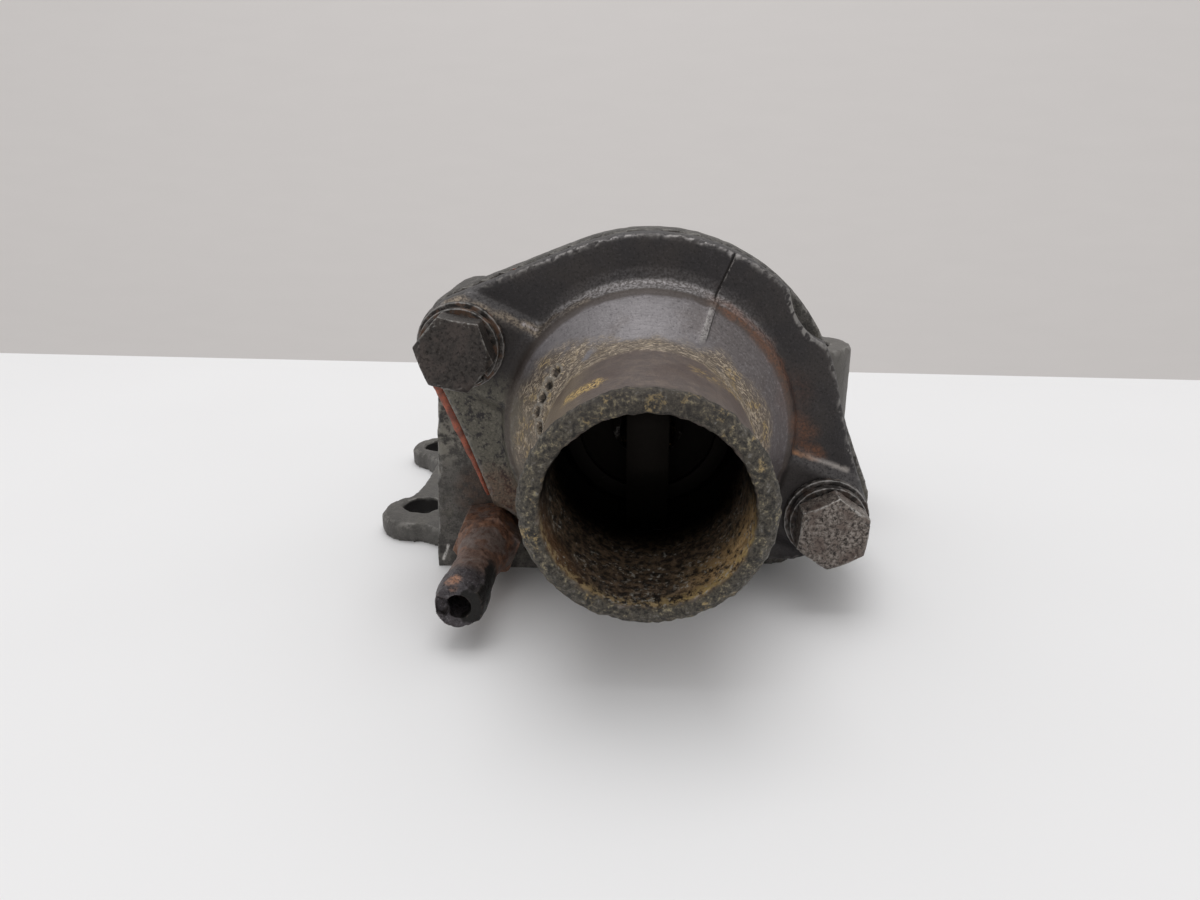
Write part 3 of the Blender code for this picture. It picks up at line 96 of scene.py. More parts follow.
# %% Shader sums in plain Python
class Shade:
    """One value of a material. Sums on it add Math nodes."""

    def __init__(self, socket):
        self.socket = socket

    def math(self, operation, first, *rest):
        node = self.socket.id_data.nodes.new("ShaderNodeMath")
        node.operation = operation
        for place, value in enumerate((first,) + rest):
            feed(node.inputs[place], value)
        return Shade(node.outputs[0])

    def __add__(self, other):
        return self.math("ADD", self, other)

    def __sub__(self, other):
        return self.math("SUBTRACT", self, other)

    def __rsub__(self, other):
        return self.math("SUBTRACT", other, self)

    def __mul__(self, other):
        return self.math("MULTIPLY", self, other)

    def __truediv__(self, other):
        return self.math("DIVIDE", self, other)

    def __abs__(self):
        return self.math("ABSOLUTE", self)

    def larger(self, other):
        return self.math("MAXIMUM", self, other)

    def smaller(self, other):
        return self.math("MINIMUM", self, other)

    def step(self, start, end):
        """Goes softly from 0 to 1 as the value goes from start to end. It falls where end is lower."""
        node = self.socket.id_data.nodes.new("ShaderNodeMapRange")
        node.interpolation_type = "SMOOTHSTEP"
        for name, value in (("Value", self), ("From Min", start), ("From Max", end)):
            feed(node.inputs[name], value)
        return Shade(node.outputs[0])

    __radd__ = __add__
    __rmul__ = __mul__


def feed(socket, value):
    """Links a shade to the socket, or writes a plain value in it."""
    if isinstance(value, Shade):
        socket.id_data.links.new(value.socket, socket)
    elif isinstance(value, (tuple, Vector)) and socket.type == "RGBA":
        socket.default_value = tuple(value) + (1,)
    else:
        socket.default_value = value


# %% [markdown]
# A finish is a material with one Principled shader.
# Its patterns take the point on the piece in millimetres, so a size in a recipe is a size on the object.
# Colours are laid one over the other, each by its mask, and the last call links them with the roughness,
# the metal share and the bump, which all can be baked.

# %% Finishes
class Finish:
    """A material under construction, with the patterns that the recipes share."""

    def __init__(self, name):
        self.material = bpy.data.materials.new(name)
        self.material.use_nodes = True
        self.tree = self.material.node_tree
        self.shader = self.tree.nodes["Principled BSDF"]
        here = self.node("ShaderNodeTexCoord", output="Object")
        self.point = self.vector("SCALE", {0: here, "Scale": 1 / MM})
        self.colour = None

    def node(self, kind, settings=None, values=None, output=0):
        """Adds any node. Settings come first, then the values or links of its sockets."""
        node = self.tree.nodes.new(kind)
        for name, value in (settings or {}).items():
            setattr(node, name, value)
        for name, value in (values or {}).items():
            feed(node.inputs[name], value)
        return Shade(node.outputs[output])

    def vector(self, operation, values, output=0):
        """A sum on vectors. Lengths, distances and dot products come out of output 1."""
        return self.node("ShaderNodeVectorMath", {"operation": operation}, values, output)

    def split(self, vector):
        parts = self.node("ShaderNodeSeparateXYZ", values={0: vector})
        return [Shade(output) for output in parts.socket.node.outputs]

    def join(self, x, y, z):
        return self.node("ShaderNodeCombineXYZ", values={0: x, 1: y, 2: z})

    def noise(self, size, detail=2.0, rough=0.5, bend=0.0, point=None, shift=0.0):
        """Soft random values from 0 to 1, with spots about size mm wide."""
        place = self.move(point or self.point, (shift, shift, shift)) if shift else point or self.point
        return self.node("ShaderNodeTexNoise", values={
            "Vector": place, "Scale": 1 / size, "Detail": detail, "Roughness": rough, "Distortion": bend})

    def cells(self, size):
        """Distance from the middle of random cells about size mm wide."""
        return self.node("ShaderNodeTexVoronoi", values={"Vector": self.point, "Scale": 1 / size})

    def move(self, vector, offset):
        return self.vector("ADD", {0: vector, 1: offset})

    def ridge(self, value, width):
        """1 where the value crosses its middle, in a thin line."""
        return abs(value - 0.5).step(width, 0.0)

    def mix(self, below, above, share):
        """The colour above, laid over the colour below by its share."""
        return self.node("ShaderNodeMix", {"data_type": "RGBA"}, {0: share, 6: below, 7: above}, output=2)

    def lay(self, above, share):
        """Lays one more colour over what the finish has so far."""
        self.colour = self.mix(self.colour, above, share)

    def near(self, centre, inner, outer, point=None):
        """1 within inner mm of the centre, falling to 0 at outer mm."""
        distance = self.vector("DISTANCE", {
            0: point or self.point, 1: centre}, output=1)
        return distance.step(outer, inner)

    def near_line(self, start, end, inner, outer, point=None):
        """1 within inner mm of the straight line between two points, falling to 0 at outer mm."""
        along = Vector(end) - Vector(start)
        offset = self.move(point or self.point, tuple(-Vector(start)))
        share = self.vector("DOT_PRODUCT", {
            0: offset, 1: tuple(along / along.length_squared)}, output=1)
        foot = self.vector("SCALE", {
            0: tuple(along), "Scale": share.larger(0.0).smaller(1.0)})
        distance = self.vector("DISTANCE", {
            0: offset, 1: foot}, output=1)
        return distance.step(outer, inner)

    def layered(self, base, *rows):
        """The base with more colours over it. A row is a colour, a grain, the grain's range and a share."""
        for above, grain, start, end, share in rows:
            base = self.mix(base, above, grain.step(start, end) * share)
        return base

    def wavy_point(self, size, reach):
        """The point, pushed about by up to reach mm, so that masks get ragged edges."""
        push = self.node("ShaderNodeTexNoise", values={
            "Vector": self.point, "Scale": 1 / size, "Detail": 3.0}, output=1)
        centred = self.move(push, (-0.5, -0.5, -0.5))
        scaled = self.vector("SCALE", {0: centred, "Scale": 2 * reach})
        return self.vector("ADD", {0: self.point, 1: scaled})

    def attribute(self, name):
        return self.node("ShaderNodeAttribute", {"attribute_name": name}, output=2)

    def done(self, roughness, metal, height=None, bump_mm=0.1):
        """Links what was laid to the shader. A height of 1 is a bump of bump_mm."""
        feed(self.shader.inputs["Base Color"], self.colour)
        feed(self.shader.inputs["Roughness"], roughness)
        feed(self.shader.inputs["Metallic"], metal)
        if height is not None:
            feed(self.shader.inputs["Normal"], self.node("ShaderNodeBump", values={
                "Height": height, "Distance": bump_mm * MM, "Strength": 1.0}))
        print("finish", self.material.name, "nodes:", len(self.tree.nodes))
        return self.material


# %% [markdown]
# The housing stands on a white table, whose far edge is seen against a pale wall.
# The light in the room is soft. It comes from above, with about as much from all round.
# One large area lamp overhead and an even world give that, with a soft shadow under the neck.
# Table and wall are plain planes with a faint unevenness.
# The wall stands far enough behind the table that the housing can be seen from its back too.

# %% Floor, wall and light
ROOM_SIZE = 3.0
TABLE_EDGE = Vector((-32, 162, 0)) * MM
TABLE_TURN = math.radians(-2.2)
WALL_PLACE = Vector((-60, 800, 30)) * MM
WALL_HEIGHT = 700 * MM
FLOOR_COLOUR = (0.80, 0.80, 0.81)
WALL_COLOUR = (0.67, 0.645, 0.635)


def shaded(colour, share):
    """The same colour, darker or lighter."""
    return tuple(share * part for part in colour)


def plain_board(name, colour, place, turn, height=ROOM_SIZE):
    bpy.ops.mesh.primitive_plane_add(size=ROOM_SIZE, location=place, rotation=turn)
    board = bpy.context.object
    board.name = name
    board.scale.y = height / ROOM_SIZE
    finish = Finish(name)
    finish.colour = finish.mix(shaded(colour, 0.97), colour, finish.noise(60.0, detail=1.0))
    board.data.materials.append(finish.done(0.6, 0.0))
    return board


bpy.ops.object.select_all(action="DESELECT")
table_middle = TABLE_EDGE - Matrix.Rotation(TABLE_TURN, 3, "Z") @ Vector((0, ROOM_SIZE / 2, 0))
plain_board("table", FLOOR_COLOUR, table_middle, (0, 0, TABLE_TURN))
plain_board("wall", WALL_COLOUR, WALL_PLACE, (math.radians(90), 0, TABLE_TURN), WALL_HEIGHT)

LAMP_PLACE = Vector((-60, 150, 1200)) * MM
LAMP_AIM = Vector((0, -10, 30)) * MM
LAMP_SIZE = 0.80
LAMP_POWER = 5.6
WORLD_COLOUR = (1.0, 0.99, 0.98, 1)
WORLD_STRENGTH = 0.76

bpy.ops.object.light_add(type="AREA", location=LAMP_PLACE)
lamp = bpy.context.object
lamp.name = "ceiling_lamp"
lamp.data.shape = "SQUARE"
lamp.data.size = LAMP_SIZE
lamp.data.energy = LAMP_POWER
lamp.rotation_euler = (LAMP_AIM - LAMP_PLACE).to_track_quat("-Z", "Y").to_euler()

world = bpy.data.worlds.new("room")
world.use_nodes = True
background = world.node_tree.nodes["Background"]
background.inputs["Color"].default_value = WORLD_COLOUR
background.inputs["Strength"].default_value = WORLD_STRENGTH
bpy.context.scene.world = world
bpy.context.scene.view_settings.view_transform = "Standard"
print("light: one lamp of", LAMP_POWER, "W and the room")

# %% [markdown]
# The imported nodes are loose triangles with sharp, exact edges, and their meshes stay untouched.
# So each piece is a copy whose double points are merged first.
# Cast pieces are then rebuilt as an even grid with a voxel remesh and smoothed a little.
# That rounds every edge, as sand and years of handling do, and gives points to sculpt with.

# %% Copies that can be worked on
MERGE_DISTANCE = 0.01 * MM


def select_only(piece):
    bpy.ops.object.select_all(action="DESELECT")
    piece.select_set(True)
    bpy.context.view_layer.objects.active = piece


def working_copy(node, body="root"):
    """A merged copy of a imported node, which stands for it and moves with its body."""
    piece = bpy.data.objects.new(node + "_finished", frame["nodes"][node].data.copy())
    bpy.context.collection.objects.link(piece)
    piece.data.materials.clear()
    select_only(piece)
    bpy.ops.object.mode_set(mode="EDIT")
    bpy.ops.mesh.select_all(action="SELECT")
    bpy.ops.mesh.remove_doubles(threshold=MERGE_DISTANCE)
    bpy.ops.object.mode_set(mode="OBJECT")
    bpy.ops.mesh.customdata_custom_splitnormals_clear()
    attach(piece, body)
    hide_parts(node)
    return piece


def use_modifier(piece, kind, **settings):
    """Adds a modifier, sets it and applies it."""
    select_only(piece)
    modifier = piece.modifiers.new(kind.lower(), kind)
    for name, value in settings.items():
        setattr(modifier, name, value)
    bpy.ops.object.modifier_apply(modifier=modifier.name)


def even_grid(piece, cell_mm, rounds):
    """Rebuilds the piece as an even grid and softens its edges."""
    use_modifier(piece, "REMESH", mode="VOXEL", voxel_size=cell_mm * MM)
    use_modifier(piece, "SMOOTH", factor=0.5, iterations=rounds)


# %% [markdown]
# Sculpting here means moving points along their normals by a height worked out from their place.
# Numbers for all points are worked out at once with numpy, and the noise is Blender's own.
# The same arrays tell which points lie on an edge and which in a groove.
# That is stored on the mesh as the attribute relief, so that a finish can wear edges and stain grooves.

# %% Sculpting with heights
SEED_SHIFT = 7.3


def points_of(piece):
    """The places in mm and the normals of a piece's points."""
    count = len(piece.data.vertices)
    places = np.empty(3 * count)
    normals = np.empty(3 * count)
    piece.data.vertices.foreach_get("co", places)
    piece.data.vertex_normals.foreach_get("vector", normals)
    return places.reshape(-1, 3) / MM, normals.reshape(-1, 3)


def sculpt(piece, heights):
    """Moves each point along its normal by its height in mm."""
    places, normals = points_of(piece)
    moved = (places + normals * heights[:, None]) * MM
    piece.data.vertices.foreach_set("co", moved.ravel())
    piece.data.update()


def lumps(places, size, seed=0):
    """Soft random heights from about -1 to 1 at the places, with lumps about size mm wide."""
    shifted = places / size + SEED_SHIFT * seed
    return np.array([noise.noise(Vector(place)) for place in shifted])


def soft_step(values, start, end):
    """Goes softly from 0 to 1 as the values go from start to end."""
    share = np.clip((values - start) / (end - start), 0, 1)
    return share * share * (3 - 2 * share)


def smoothed(values, piece, rounds):
    """Averages values over neighbouring points, round after round."""
    count = len(piece.data.vertices)
    ends = np.empty(2 * len(piece.data.edges), dtype=np.int32)
    piece.data.edges.foreach_get("vertices", ends)
    here, there = ends[0::2], ends[1::2]
    neighbours = np.maximum(np.bincount(ends, minlength=count), 1)[:, None]
    for _ in range(rounds):
        total = np.empty_like(values)
        for column in range(values.shape[1]):
            total[:, column] = np.bincount(here, values[there, column], count)
            total[:, column] += np.bincount(there, values[here, column], count)
        values = (values + total / neighbours) / 2
    return values


def relief_of(piece, rounds):
    """How far each point stands out of its surroundings in mm: over 0 on edges, under 0 in grooves."""
    places, normals = points_of(piece)
    return ((places - smoothed(places, piece, rounds)) * normals).sum(axis=1)


def keep_numbers(piece, name, numbers):
    """Stores one number for each point, for the piece's finish to read."""
    layer = piece.data.attributes.new(name, "FLOAT", "POINT")
    layer.data.foreach_set("value", numbers)


def finish_piece(piece, finish, angle=40):
    piece.data.materials.append(finish)
    select_only(piece)
    bpy.ops.object.shade_smooth_by_angle(angle=math.radians(angle))
    print(piece.name, "faces:", len(piece.data.polygons))


# %% [markdown]
# Most places on the cover are easiest to name from the hose neck: how far behind the mouth, and how far
# from the neck's axis. The record's mount at the neck's end gives both, once its point is moved to the axis.
# The angle round the neck is counted as a way in mm round a neck of GIRTH_RADIUS, so grains keep their size.

# %% Places measured from the neck
mounts = {mount["name"]: mount for mount in frame["record"]["mounts"]}
neck_out = Vector(mounts["outlet_neck_end"]["axis"]).normalized()
mouth = Vector(mounts["outlet_neck_end"]["pos_m"]) / MM
mouth.x = 0
BORE_RADIUS = 17.0
GIRTH_RADIUS = 20.0
print("middle of the mouth in mm:", tuple(round(part, 2) for part in mouth))


def neck_places(places):
    """Depth behind the mouth and distance from the neck's axis, for an array of places in mm."""
    offset = places - np.array(mouth)
    depth = -offset @ np.array(neck_out)
    across = offset + depth[:, None] * np.array(neck_out)
    return depth, np.linalg.norm(across, axis=1)


def neck_shades(finish, point):
    """The same two measures as shades, with the angle round the neck in mm of its girth."""
    offset = finish.move(point, tuple(-part for part in mouth))
    along = finish.vector("DOT_PRODUCT", {
        0: offset, 1: tuple(neck_out)}, output=1)
    depth = along * -1
    back = finish.vector("SCALE", {0: tuple(neck_out), "Scale": depth})
    across = finish.vector("ADD", {0: offset, 1: back})
    radius = finish.vector("LENGTH", {0: across}, output=1)
    x, _, z = finish.split(across)
    girth = depth.math("ARCTAN2", x, z) * GIRTH_RADIUS
    return depth, radius, girth


# %% [markdown]
# The cover is the piece one sees most. It is one casting: flange, dome and neck.
# The mouth of the neck is eaten by coolant and covered with lumpy deposits, and its bore is rough too.
# All of that is sculpted on the even grid, in heights of a few tenths of a millimetre.
# Three numbers for each point go along for the finish: relief, inner (the bore's wall), and the ledge number
# (what faces up and forwards, where painted highlight goes).

# %% The cover's grid, crust and bore
GROOVE_Y = -20.6

cover = working_copy("outlet_cover")
even_grid(cover, 0.5, 2)
places, normals = points_of(cover)
depth, radius = neck_places(places)
edges = relief_of(cover, 6)
# Faces that look up and forwards, which the finish gives painted highlight.
lit_ledge = soft_step(normals[:, 2], 0.25, 0.6) * soft_step(normals[:, 1], -0.08, -0.3)

crust = soft_step(depth, 8.0, 4.5) * soft_step(radius, BORE_RADIUS - 1.5, BORE_RADIUS + 0.5)
heights = 0.05 * lumps(places, 3.0) + 0.02 * lumps(places, 0.9, seed=1)
heights += crust * (0.24 * lumps(places, 2.6, seed=2) + 0.26 * lumps(places, 1.15, seed=3))

bore = soft_step(radius, BORE_RADIUS + 1, BORE_RADIUS) * soft_step(depth, 1.0, 4.0)
heights += bore * (0.16 * lumps(places, 2.4, seed=4) + 0.10 * lumps(places, 1.1, seed=7))

on_wall = soft_step(radius, 24.0, 24.8) * soft_step(radius, 28.6, 27.8) * (normals[:, 1] < 0.2)
heights -= 0.24 * on_wall * np.exp(-((places[:, 1] - GROOVE_Y) / 0.60) ** 2)
print("cover points:", len(places), "of them in the crust:", int((crust > 0.5).sum()))

# %% [markdown]
# A thin seam crosses the flange and ends in a raised strip on the dome, a row of pits runs beside the neck,
# and the flange's lip is chipped. The seam is a straight line, so its place is one point and one lean.

# %% Seam, pits and chips
SEAM_X = 12.0
SEAM_Z = 60.2
SEAM_LEAN = 0.4234
PITS = [(-17.1, -27.1, 48.1), (-18.3, -27.5, 45.7), (-19.5, -27.8, 43.3),
        (-20.5, -27.8, 40.6), (-19.9, -29.6, 38.1)]

seam_side = (places[:, 0] - SEAM_X - SEAM_LEAN * (places[:, 2] - SEAM_Z)) / math.hypot(1, SEAM_LEAN)
front = soft_step(normals[:, 1], 0.3, -0.1) * (places[:, 0] > 0)
on_flange = front * soft_step(places[:, 2], SEAM_Z - 1, SEAM_Z + 0.5)
on_dome = front * soft_step(places[:, 2], SEAM_Z + 0.6, SEAM_Z - 0.4) * soft_step(places[:, 2], 53.6, 54.8)
heights -= 0.20 * on_flange * np.exp(-(seam_side / 0.26) ** 2)
heights += 0.24 * on_dome * soft_step(np.abs(seam_side), 1.0, 0.55) * (1 + 0.4 * lumps(places, 0.8, seed=5))

for pit in PITS:
    away = np.linalg.norm(places - np.array(pit), axis=1) + 0.6 * lumps(places, 1.1, seed=8)
    heights -= 1.10 * np.exp(-(np.maximum(away, 0) / 0.85) ** 2)
    heights += 0.25 * np.exp(-((away - 1.5) / 0.4) ** 2)

chips = soft_step(lumps(places, 1.3, seed=6), 0.15, 0.45) * soft_step(edges, 0.05, 0.15)
heights -= 0.20 * chips * (depth > 12)

neck_across = places - np.array(mouth) + depth[:, None] * np.array(neck_out)
outward = (normals * neck_across).sum(axis=1) / np.maximum(radius, 1.0)
backward = -normals @ np.array(neck_out)
inner = np.maximum(soft_step(outward, -0.1, -0.4), soft_step(backward, 0.2, 0.5) * (radius < 26.5))

sculpt(cover, heights)
keep_numbers(cover, "relief", relief_of(cover, 5))
keep_numbers(cover, "inner", inner)
keep_numbers(cover, "lit_ledge", lit_ledge)
print("cover relief in mm:", round(float(heights.min()), 2), "to", round(float(heights.max()), 2))


# %% [markdown]
# The cover's colours follow the places above. The flange is dark and smooth, the dome is a bluish grey with
# a fine speckle, the neck's root is rubbed bare in crossed scratches, and the neck is a smooth grey brown.
# Each stain is a soft mask with a ragged edge, and one after the other is laid over the colour below.
# All layers need the same measures and grains, so these are made once and handed to each layer as "at".

# %% Colours and measures that the cover's layers share
CHARCOAL = (0.031, 0.028, 0.029)
DOME_GREY = (0.190, 0.178, 0.186)
NECK_BROWN = (0.128, 0.102, 0.092)
BARE_METAL = (0.36, 0.34, 0.32)
GOLD = (0.50, 0.36, 0.15)
# Soot black. It also serves as painted shade: in the bore, inside the body and its creases, in the nipple's
# bore, and beside the dome's strip.
SOOT_AND_SHADE = (0.010, 0.009, 0.008)


class CoverPlaces:
    """Where a point of the cover lies, and how the grains run there."""

    def __init__(self, finish):
        self.wavy = finish.wavy_point(3.0, 1.1)
        self.ragged = finish.wavy_point(1.1, 0.5)
        self.depth, self.radius, self.girth = neck_shades(finish, self.wavy)
        self.x, self.y, self.z = finish.split(self.wavy)
        self.true_x, self.true_y, self.true_z = finish.split(finish.point)
        self.relief = finish.attribute("relief")
        self.lit_ledge = finish.attribute("lit_ledge")
        self.fine = finish.noise(0.5, detail=3.0, rough=0.70)
        self.middle = finish.noise(2.0, detail=5.0, rough=0.65, shift=2.0)
        self.broad = finish.noise(9.0, detail=3.0)
        self.sharp_depth, self.sharp_radius, self.sharp_girth = neck_shades(finish, finish.point)
        round_neck = finish.join(self.sharp_girth * 0.45, self.sharp_depth * 2.2, self.sharp_radius * 2.2)
        self.brushed = finish.noise(1.0, detail=4.0, rough=0.65, point=round_neck)


# %% [markdown]
# The flange kept its casting skin, nearly black, and grey green at the side where the sealant shows.
# The dome is paler. Its fine grain runs round the neck, and it turns browner to the right.

# %% Flange and dome
FLANGE_BROWN = (0.052, 0.044, 0.040)
FLANK_GREY = (0.110, 0.102, 0.082)
FLANK_PALE = (0.21, 0.195, 0.155)
FLANK_DARK = (0.024, 0.022, 0.021)
DOME_BROWN = (0.105, 0.089, 0.088)
DOME_BEIGE = (0.130, 0.112, 0.084)


def flange_colour(finish, at):
    skin = finish.layered(CHARCOAL, (FLANGE_BROWN, at.broad, 0.40, 0.66, 0.5),
                          (shaded(CHARCOAL, 1.9), at.middle, 0.54, 0.74, 0.5),
                          (shaded(CHARCOAL, 2.6), at.fine, 0.56, 0.68, 0.35),
                          (shaded(CHARCOAL, 0.45), at.fine, 0.45, 0.35, 0.6))
    flank = finish.mix(FLANK_GREY, shaded(CHARCOAL, 0.9), at.middle.step(0.50, 0.62))
    flank = finish.layered(flank, (FLANK_PALE, at.fine, 0.53, 0.66, 0.65),
                           (FLANK_DARK, at.fine, 0.44, 0.35, 0.75))
    on_flank = at.x.step(-16.0, -24.0) * at.z.step(47.0, 41.0)
    return finish.mix(skin, flank, on_flank)


def dome_colour(finish, at):
    lower_left = at.x.step(-10.0, -20.0) * at.z.step(50.0, 40.0)
    base = finish.mix(DOME_GREY, DOME_BROWN, at.x.step(1.0, 16.0) * 0.9)
    base = finish.mix(base, DOME_BEIGE, lower_left)
    return finish.layered(base, (shaded(NECK_BROWN, 0.8), at.broad, 0.50, 0.66, 0.4),
                          (shaded(DOME_GREY, 1.4), at.brushed, 0.50, 0.66, 0.25),
                          (shaded(DOME_GREY, 0.55), at.brushed, 0.48, 0.34, 0.30),
                          (shaded(DOME_GREY, 0.30), at.fine, 0.42, 0.34, 0.6),
                          (shaded(DOME_GREY, 1.7), at.fine, 0.57, 0.66, 0.4))


# %% [markdown]
# Between flange and dome runs a ring of painted highlight, pale and brightest on top, and what faces up
# and forwards gets a little painted highlight too. The upper left arm has a pale tan band on its ledges,
# partly tan dirt and partly painted highlight where they face up, and one bright nick.

# %% Ring and arm
LEDGE_HIGHLIGHT = (0.21, 0.20, 0.20)
RING_HIGHLIGHT_DULL = (0.15, 0.137, 0.133)
RING_HIGHLIGHT = (0.41, 0.39, 0.395)
ARM_BROWN = (0.070, 0.054, 0.044)
ARM_TAN = (0.24, 0.195, 0.145)
ARM_NICK = (0.48, 0.45, 0.47)


def lay_ring_highlight(finish, at):
    """Gives the mask of the ring's painted highlight."""
    # Painted highlight on what faces up and forwards.
    finish.lay(LEDGE_HIGHLIGHT, at.lit_ledge * at.fine.step(0.34, 0.56) * 0.20)
    # The ring between flange and dome is painted highlight, brightest on top.
    ring_highlight = at.true_y.step(-17.2, -18.2) * at.true_y.step(-20.4, -19.3)
    ring_highlight = ring_highlight * at.z.step(48.0, 54.0)
    ring_highlight = ring_highlight * at.sharp_radius.step(29.6, 28.4) * at.sharp_radius.step(25.0, 25.6)
    ring_middle = at.x.step(-24.0, -8.0) * at.x.step(26.0, 12.0)
    ring_colour = finish.mix(RING_HIGHLIGHT_DULL, RING_HIGHLIGHT, at.fine.step(0.42, 0.60))
    finish.lay(ring_colour, ring_highlight * (ring_middle * 0.75 + 0.25))
    return ring_highlight


def lay_arm_band(finish, at):
    lower = finish.near_line((-38.0, -19.0, 60.0), (-21.0, -18.9, 53.6), 0.5, 1.8, at.wavy)
    upper = finish.near_line((-21.0, -18.8, 54.0), (-12.0, -19.6, 60.0), 0.5, 1.6, at.wavy)
    tan = finish.mix(ARM_BROWN, ARM_TAN, at.fine.step(0.40, 0.60))
    # Tan band along the arm: partly tan dirt, and painted highlight where the ledge faces up.
    finish.lay(tan, lower.larger(upper * 0.8) * at.lit_ledge.larger(0.3) * 0.85)
    nick = finish.near_line((-24.0, -18.6, 54.8), (-21.0, -18.4, 53.4), 0.2, 0.9, at.ragged)
    finish.lay(ARM_NICK, nick * at.fine.step(0.40, 0.52) * 0.8)


# %% [markdown]
# The neck itself is smooth and brown. Round its root the dirt is rubbed off, in fine scratches that cross.
# Two sets of thin noise ridges, leaning to either side, make such scratches without any picture.

# %% Neck and its rubbed root
NECK_WARM = (0.165, 0.130, 0.110)
NECK_BEIGE = (0.26, 0.21, 0.155)
NECK_SHEEN = (0.22, 0.175, 0.145)
NECK_UMBER = (0.085, 0.066, 0.060)
NECK_DULL = (0.105, 0.076, 0.066)
ROOT_TAN = (0.155, 0.122, 0.090)
STRAW = (0.68, 0.57, 0.44)


def lay_neck(finish, at):
    """Gives the neck's mask."""
    neck = finish.mix(NECK_BROWN, NECK_WARM, at.middle.step(0.42, 0.66))
    neck = finish.layered(neck, (NECK_BEIGE, at.x, -8.0, -15.0, 0.8),
                          (shaded(NECK_BROWN, 0.55), at.fine, 0.42, 0.34, 0.6),
                          (NECK_SHEEN, at.brushed, 0.52, 0.64, 0.25),
                          (NECK_UMBER, at.brushed, 0.46, 0.36, 0.30),
                          (NECK_DULL, at.broad, 0.42, 0.68, 0.6))
    on_neck = at.depth.step(27.0, 24.5) * at.radius.step(24.5, 23.0)
    finish.lay(neck, on_neck)
    return on_neck


def scratch_lines(finish, depth, girth, radius, lean, shift):
    """Fine, broken scratches round the neck, leaning by a share."""
    place = finish.join(girth * 0.30 + shift, depth * 2.1 + girth * lean, radius * 0.6)
    lines = finish.ridge(finish.noise(1.0, detail=2.0, rough=0.55, point=place), 0.050)
    return lines * finish.noise(0.9, detail=2.0, shift=shift + 3).step(0.40, 0.50)


def lay_root(finish, at):
    """Gives the scratches' mask."""
    at_left = at.x.step(-4.0, -19.0)
    at_right = at.x.step(8.0, 14.0)
    root_end = 31.0 + at_left * 5.0 + at_right * 1.5 + (at.broad - 0.5) * 6.0
    root = (at.depth - root_end).step(1.6, -1.6)
    root = root * (at.depth + at_right * 3.5).step(23.8, 25.8) * at.z.step(25.0, 33.0)
    rubbed = root * finish.noise(4.0, detail=2.0, shift=12.0).step(0.24, 0.40)
    neck_place = (at.sharp_depth, at.sharp_girth, at.sharp_radius)
    fibres = scratch_lines(finish, *neck_place, 0.55, 0.0)
    scratched = fibres.larger(scratch_lines(finish, *neck_place, -0.60, 31.0)) * rubbed
    finish.lay(ROOT_TAN, rubbed * 0.80)
    finish.lay(STRAW, scratched)
    golden = finish.noise(3.0, detail=2.0, shift=70.0).step(0.50, 0.62)
    sides = at_left.larger(at_right * 1.2).larger(0.35)
    finish.lay(GOLD, scratched * golden * sides * 0.8)
    return scratched


# %% [markdown]
# The seam is a dark groove with pale lips on the flange, and goes on as a raised pale strip on the dome.
# It is drawn from the same numbers that sculpted it, so that colour and form lie on each other.

# %% Seam
STRIP_PALE = (0.34, 0.325, 0.315)


def lay_seam(finish, at):
    """Gives the groove's mask."""
    seam = (at.true_x - SEAM_X - (at.true_z - SEAM_Z) * SEAM_LEAN) / math.hypot(1, SEAM_LEAN)
    high = at.true_z.step(SEAM_Z - 1.0, SEAM_Z + 0.5)
    low = at.true_z.step(SEAM_Z + 0.6, SEAM_Z - 0.4) * at.true_z.step(53.4, 55.0)
    in_front = at.true_y.step(-16.5, -17.0)
    groove = abs(seam).step(0.20, 0.06) * high * in_front * at.fine.step(0.36, 0.50)
    lips = abs(seam - 0.32).step(0.20, 0.04) * high * in_front * at.fine.step(0.42, 0.58)
    strip = abs(seam).step(0.70, 0.45) * low
    finish.lay(STRIP_PALE, strip * at.fine.step(0.40, 0.56) * 0.80)
    finish.lay(BARE_METAL, lips * 0.40)
    shadow_line = abs(seam - 0.72).step(0.20, 0.04) * low
    finish.lay(SOOT_AND_SHADE, groove.larger(shadow_line * 0.7) * 0.92)
    return groove


# %% [markdown]
# Coolant leaves a crust where air reaches it. On the mouth it is dark olive scale with grey and cream crumbs.
# A golden patch and a few streaks lie on the neck just behind it.

# %% Crust on the mouth
SCALE_BLACK = (0.020, 0.018, 0.015)
SCALE_OLIVE = (0.090, 0.078, 0.060)
CRUMB_GREY = (0.22, 0.21, 0.19)
CREAM = (0.34, 0.29, 0.18)
TOP_SHADE_BROWN = (0.040, 0.030, 0.024)
LIP_HIGHLIGHT = (0.36, 0.35, 0.33)
PATCH_GOLD = (0.66, 0.47, 0.19)


def crust_colour(finish, shift):
    """Gives the crumbs' pattern and the crust's colour."""
    crumbs = finish.noise(0.85, detail=5.0, rough=0.75, shift=shift)
    fields = finish.noise(3.5, detail=3.0, shift=shift + 11)
    scale = finish.mix(SCALE_BLACK, SCALE_OLIVE, crumbs.step(0.38, 0.54))
    grey = finish.mix(scale, CRUMB_GREY, crumbs.step(0.54, 0.68))
    cream = finish.mix(scale, CREAM, crumbs.step(0.53, 0.66))
    return crumbs, finish.mix(grey, cream, fields.step(0.46, 0.54))


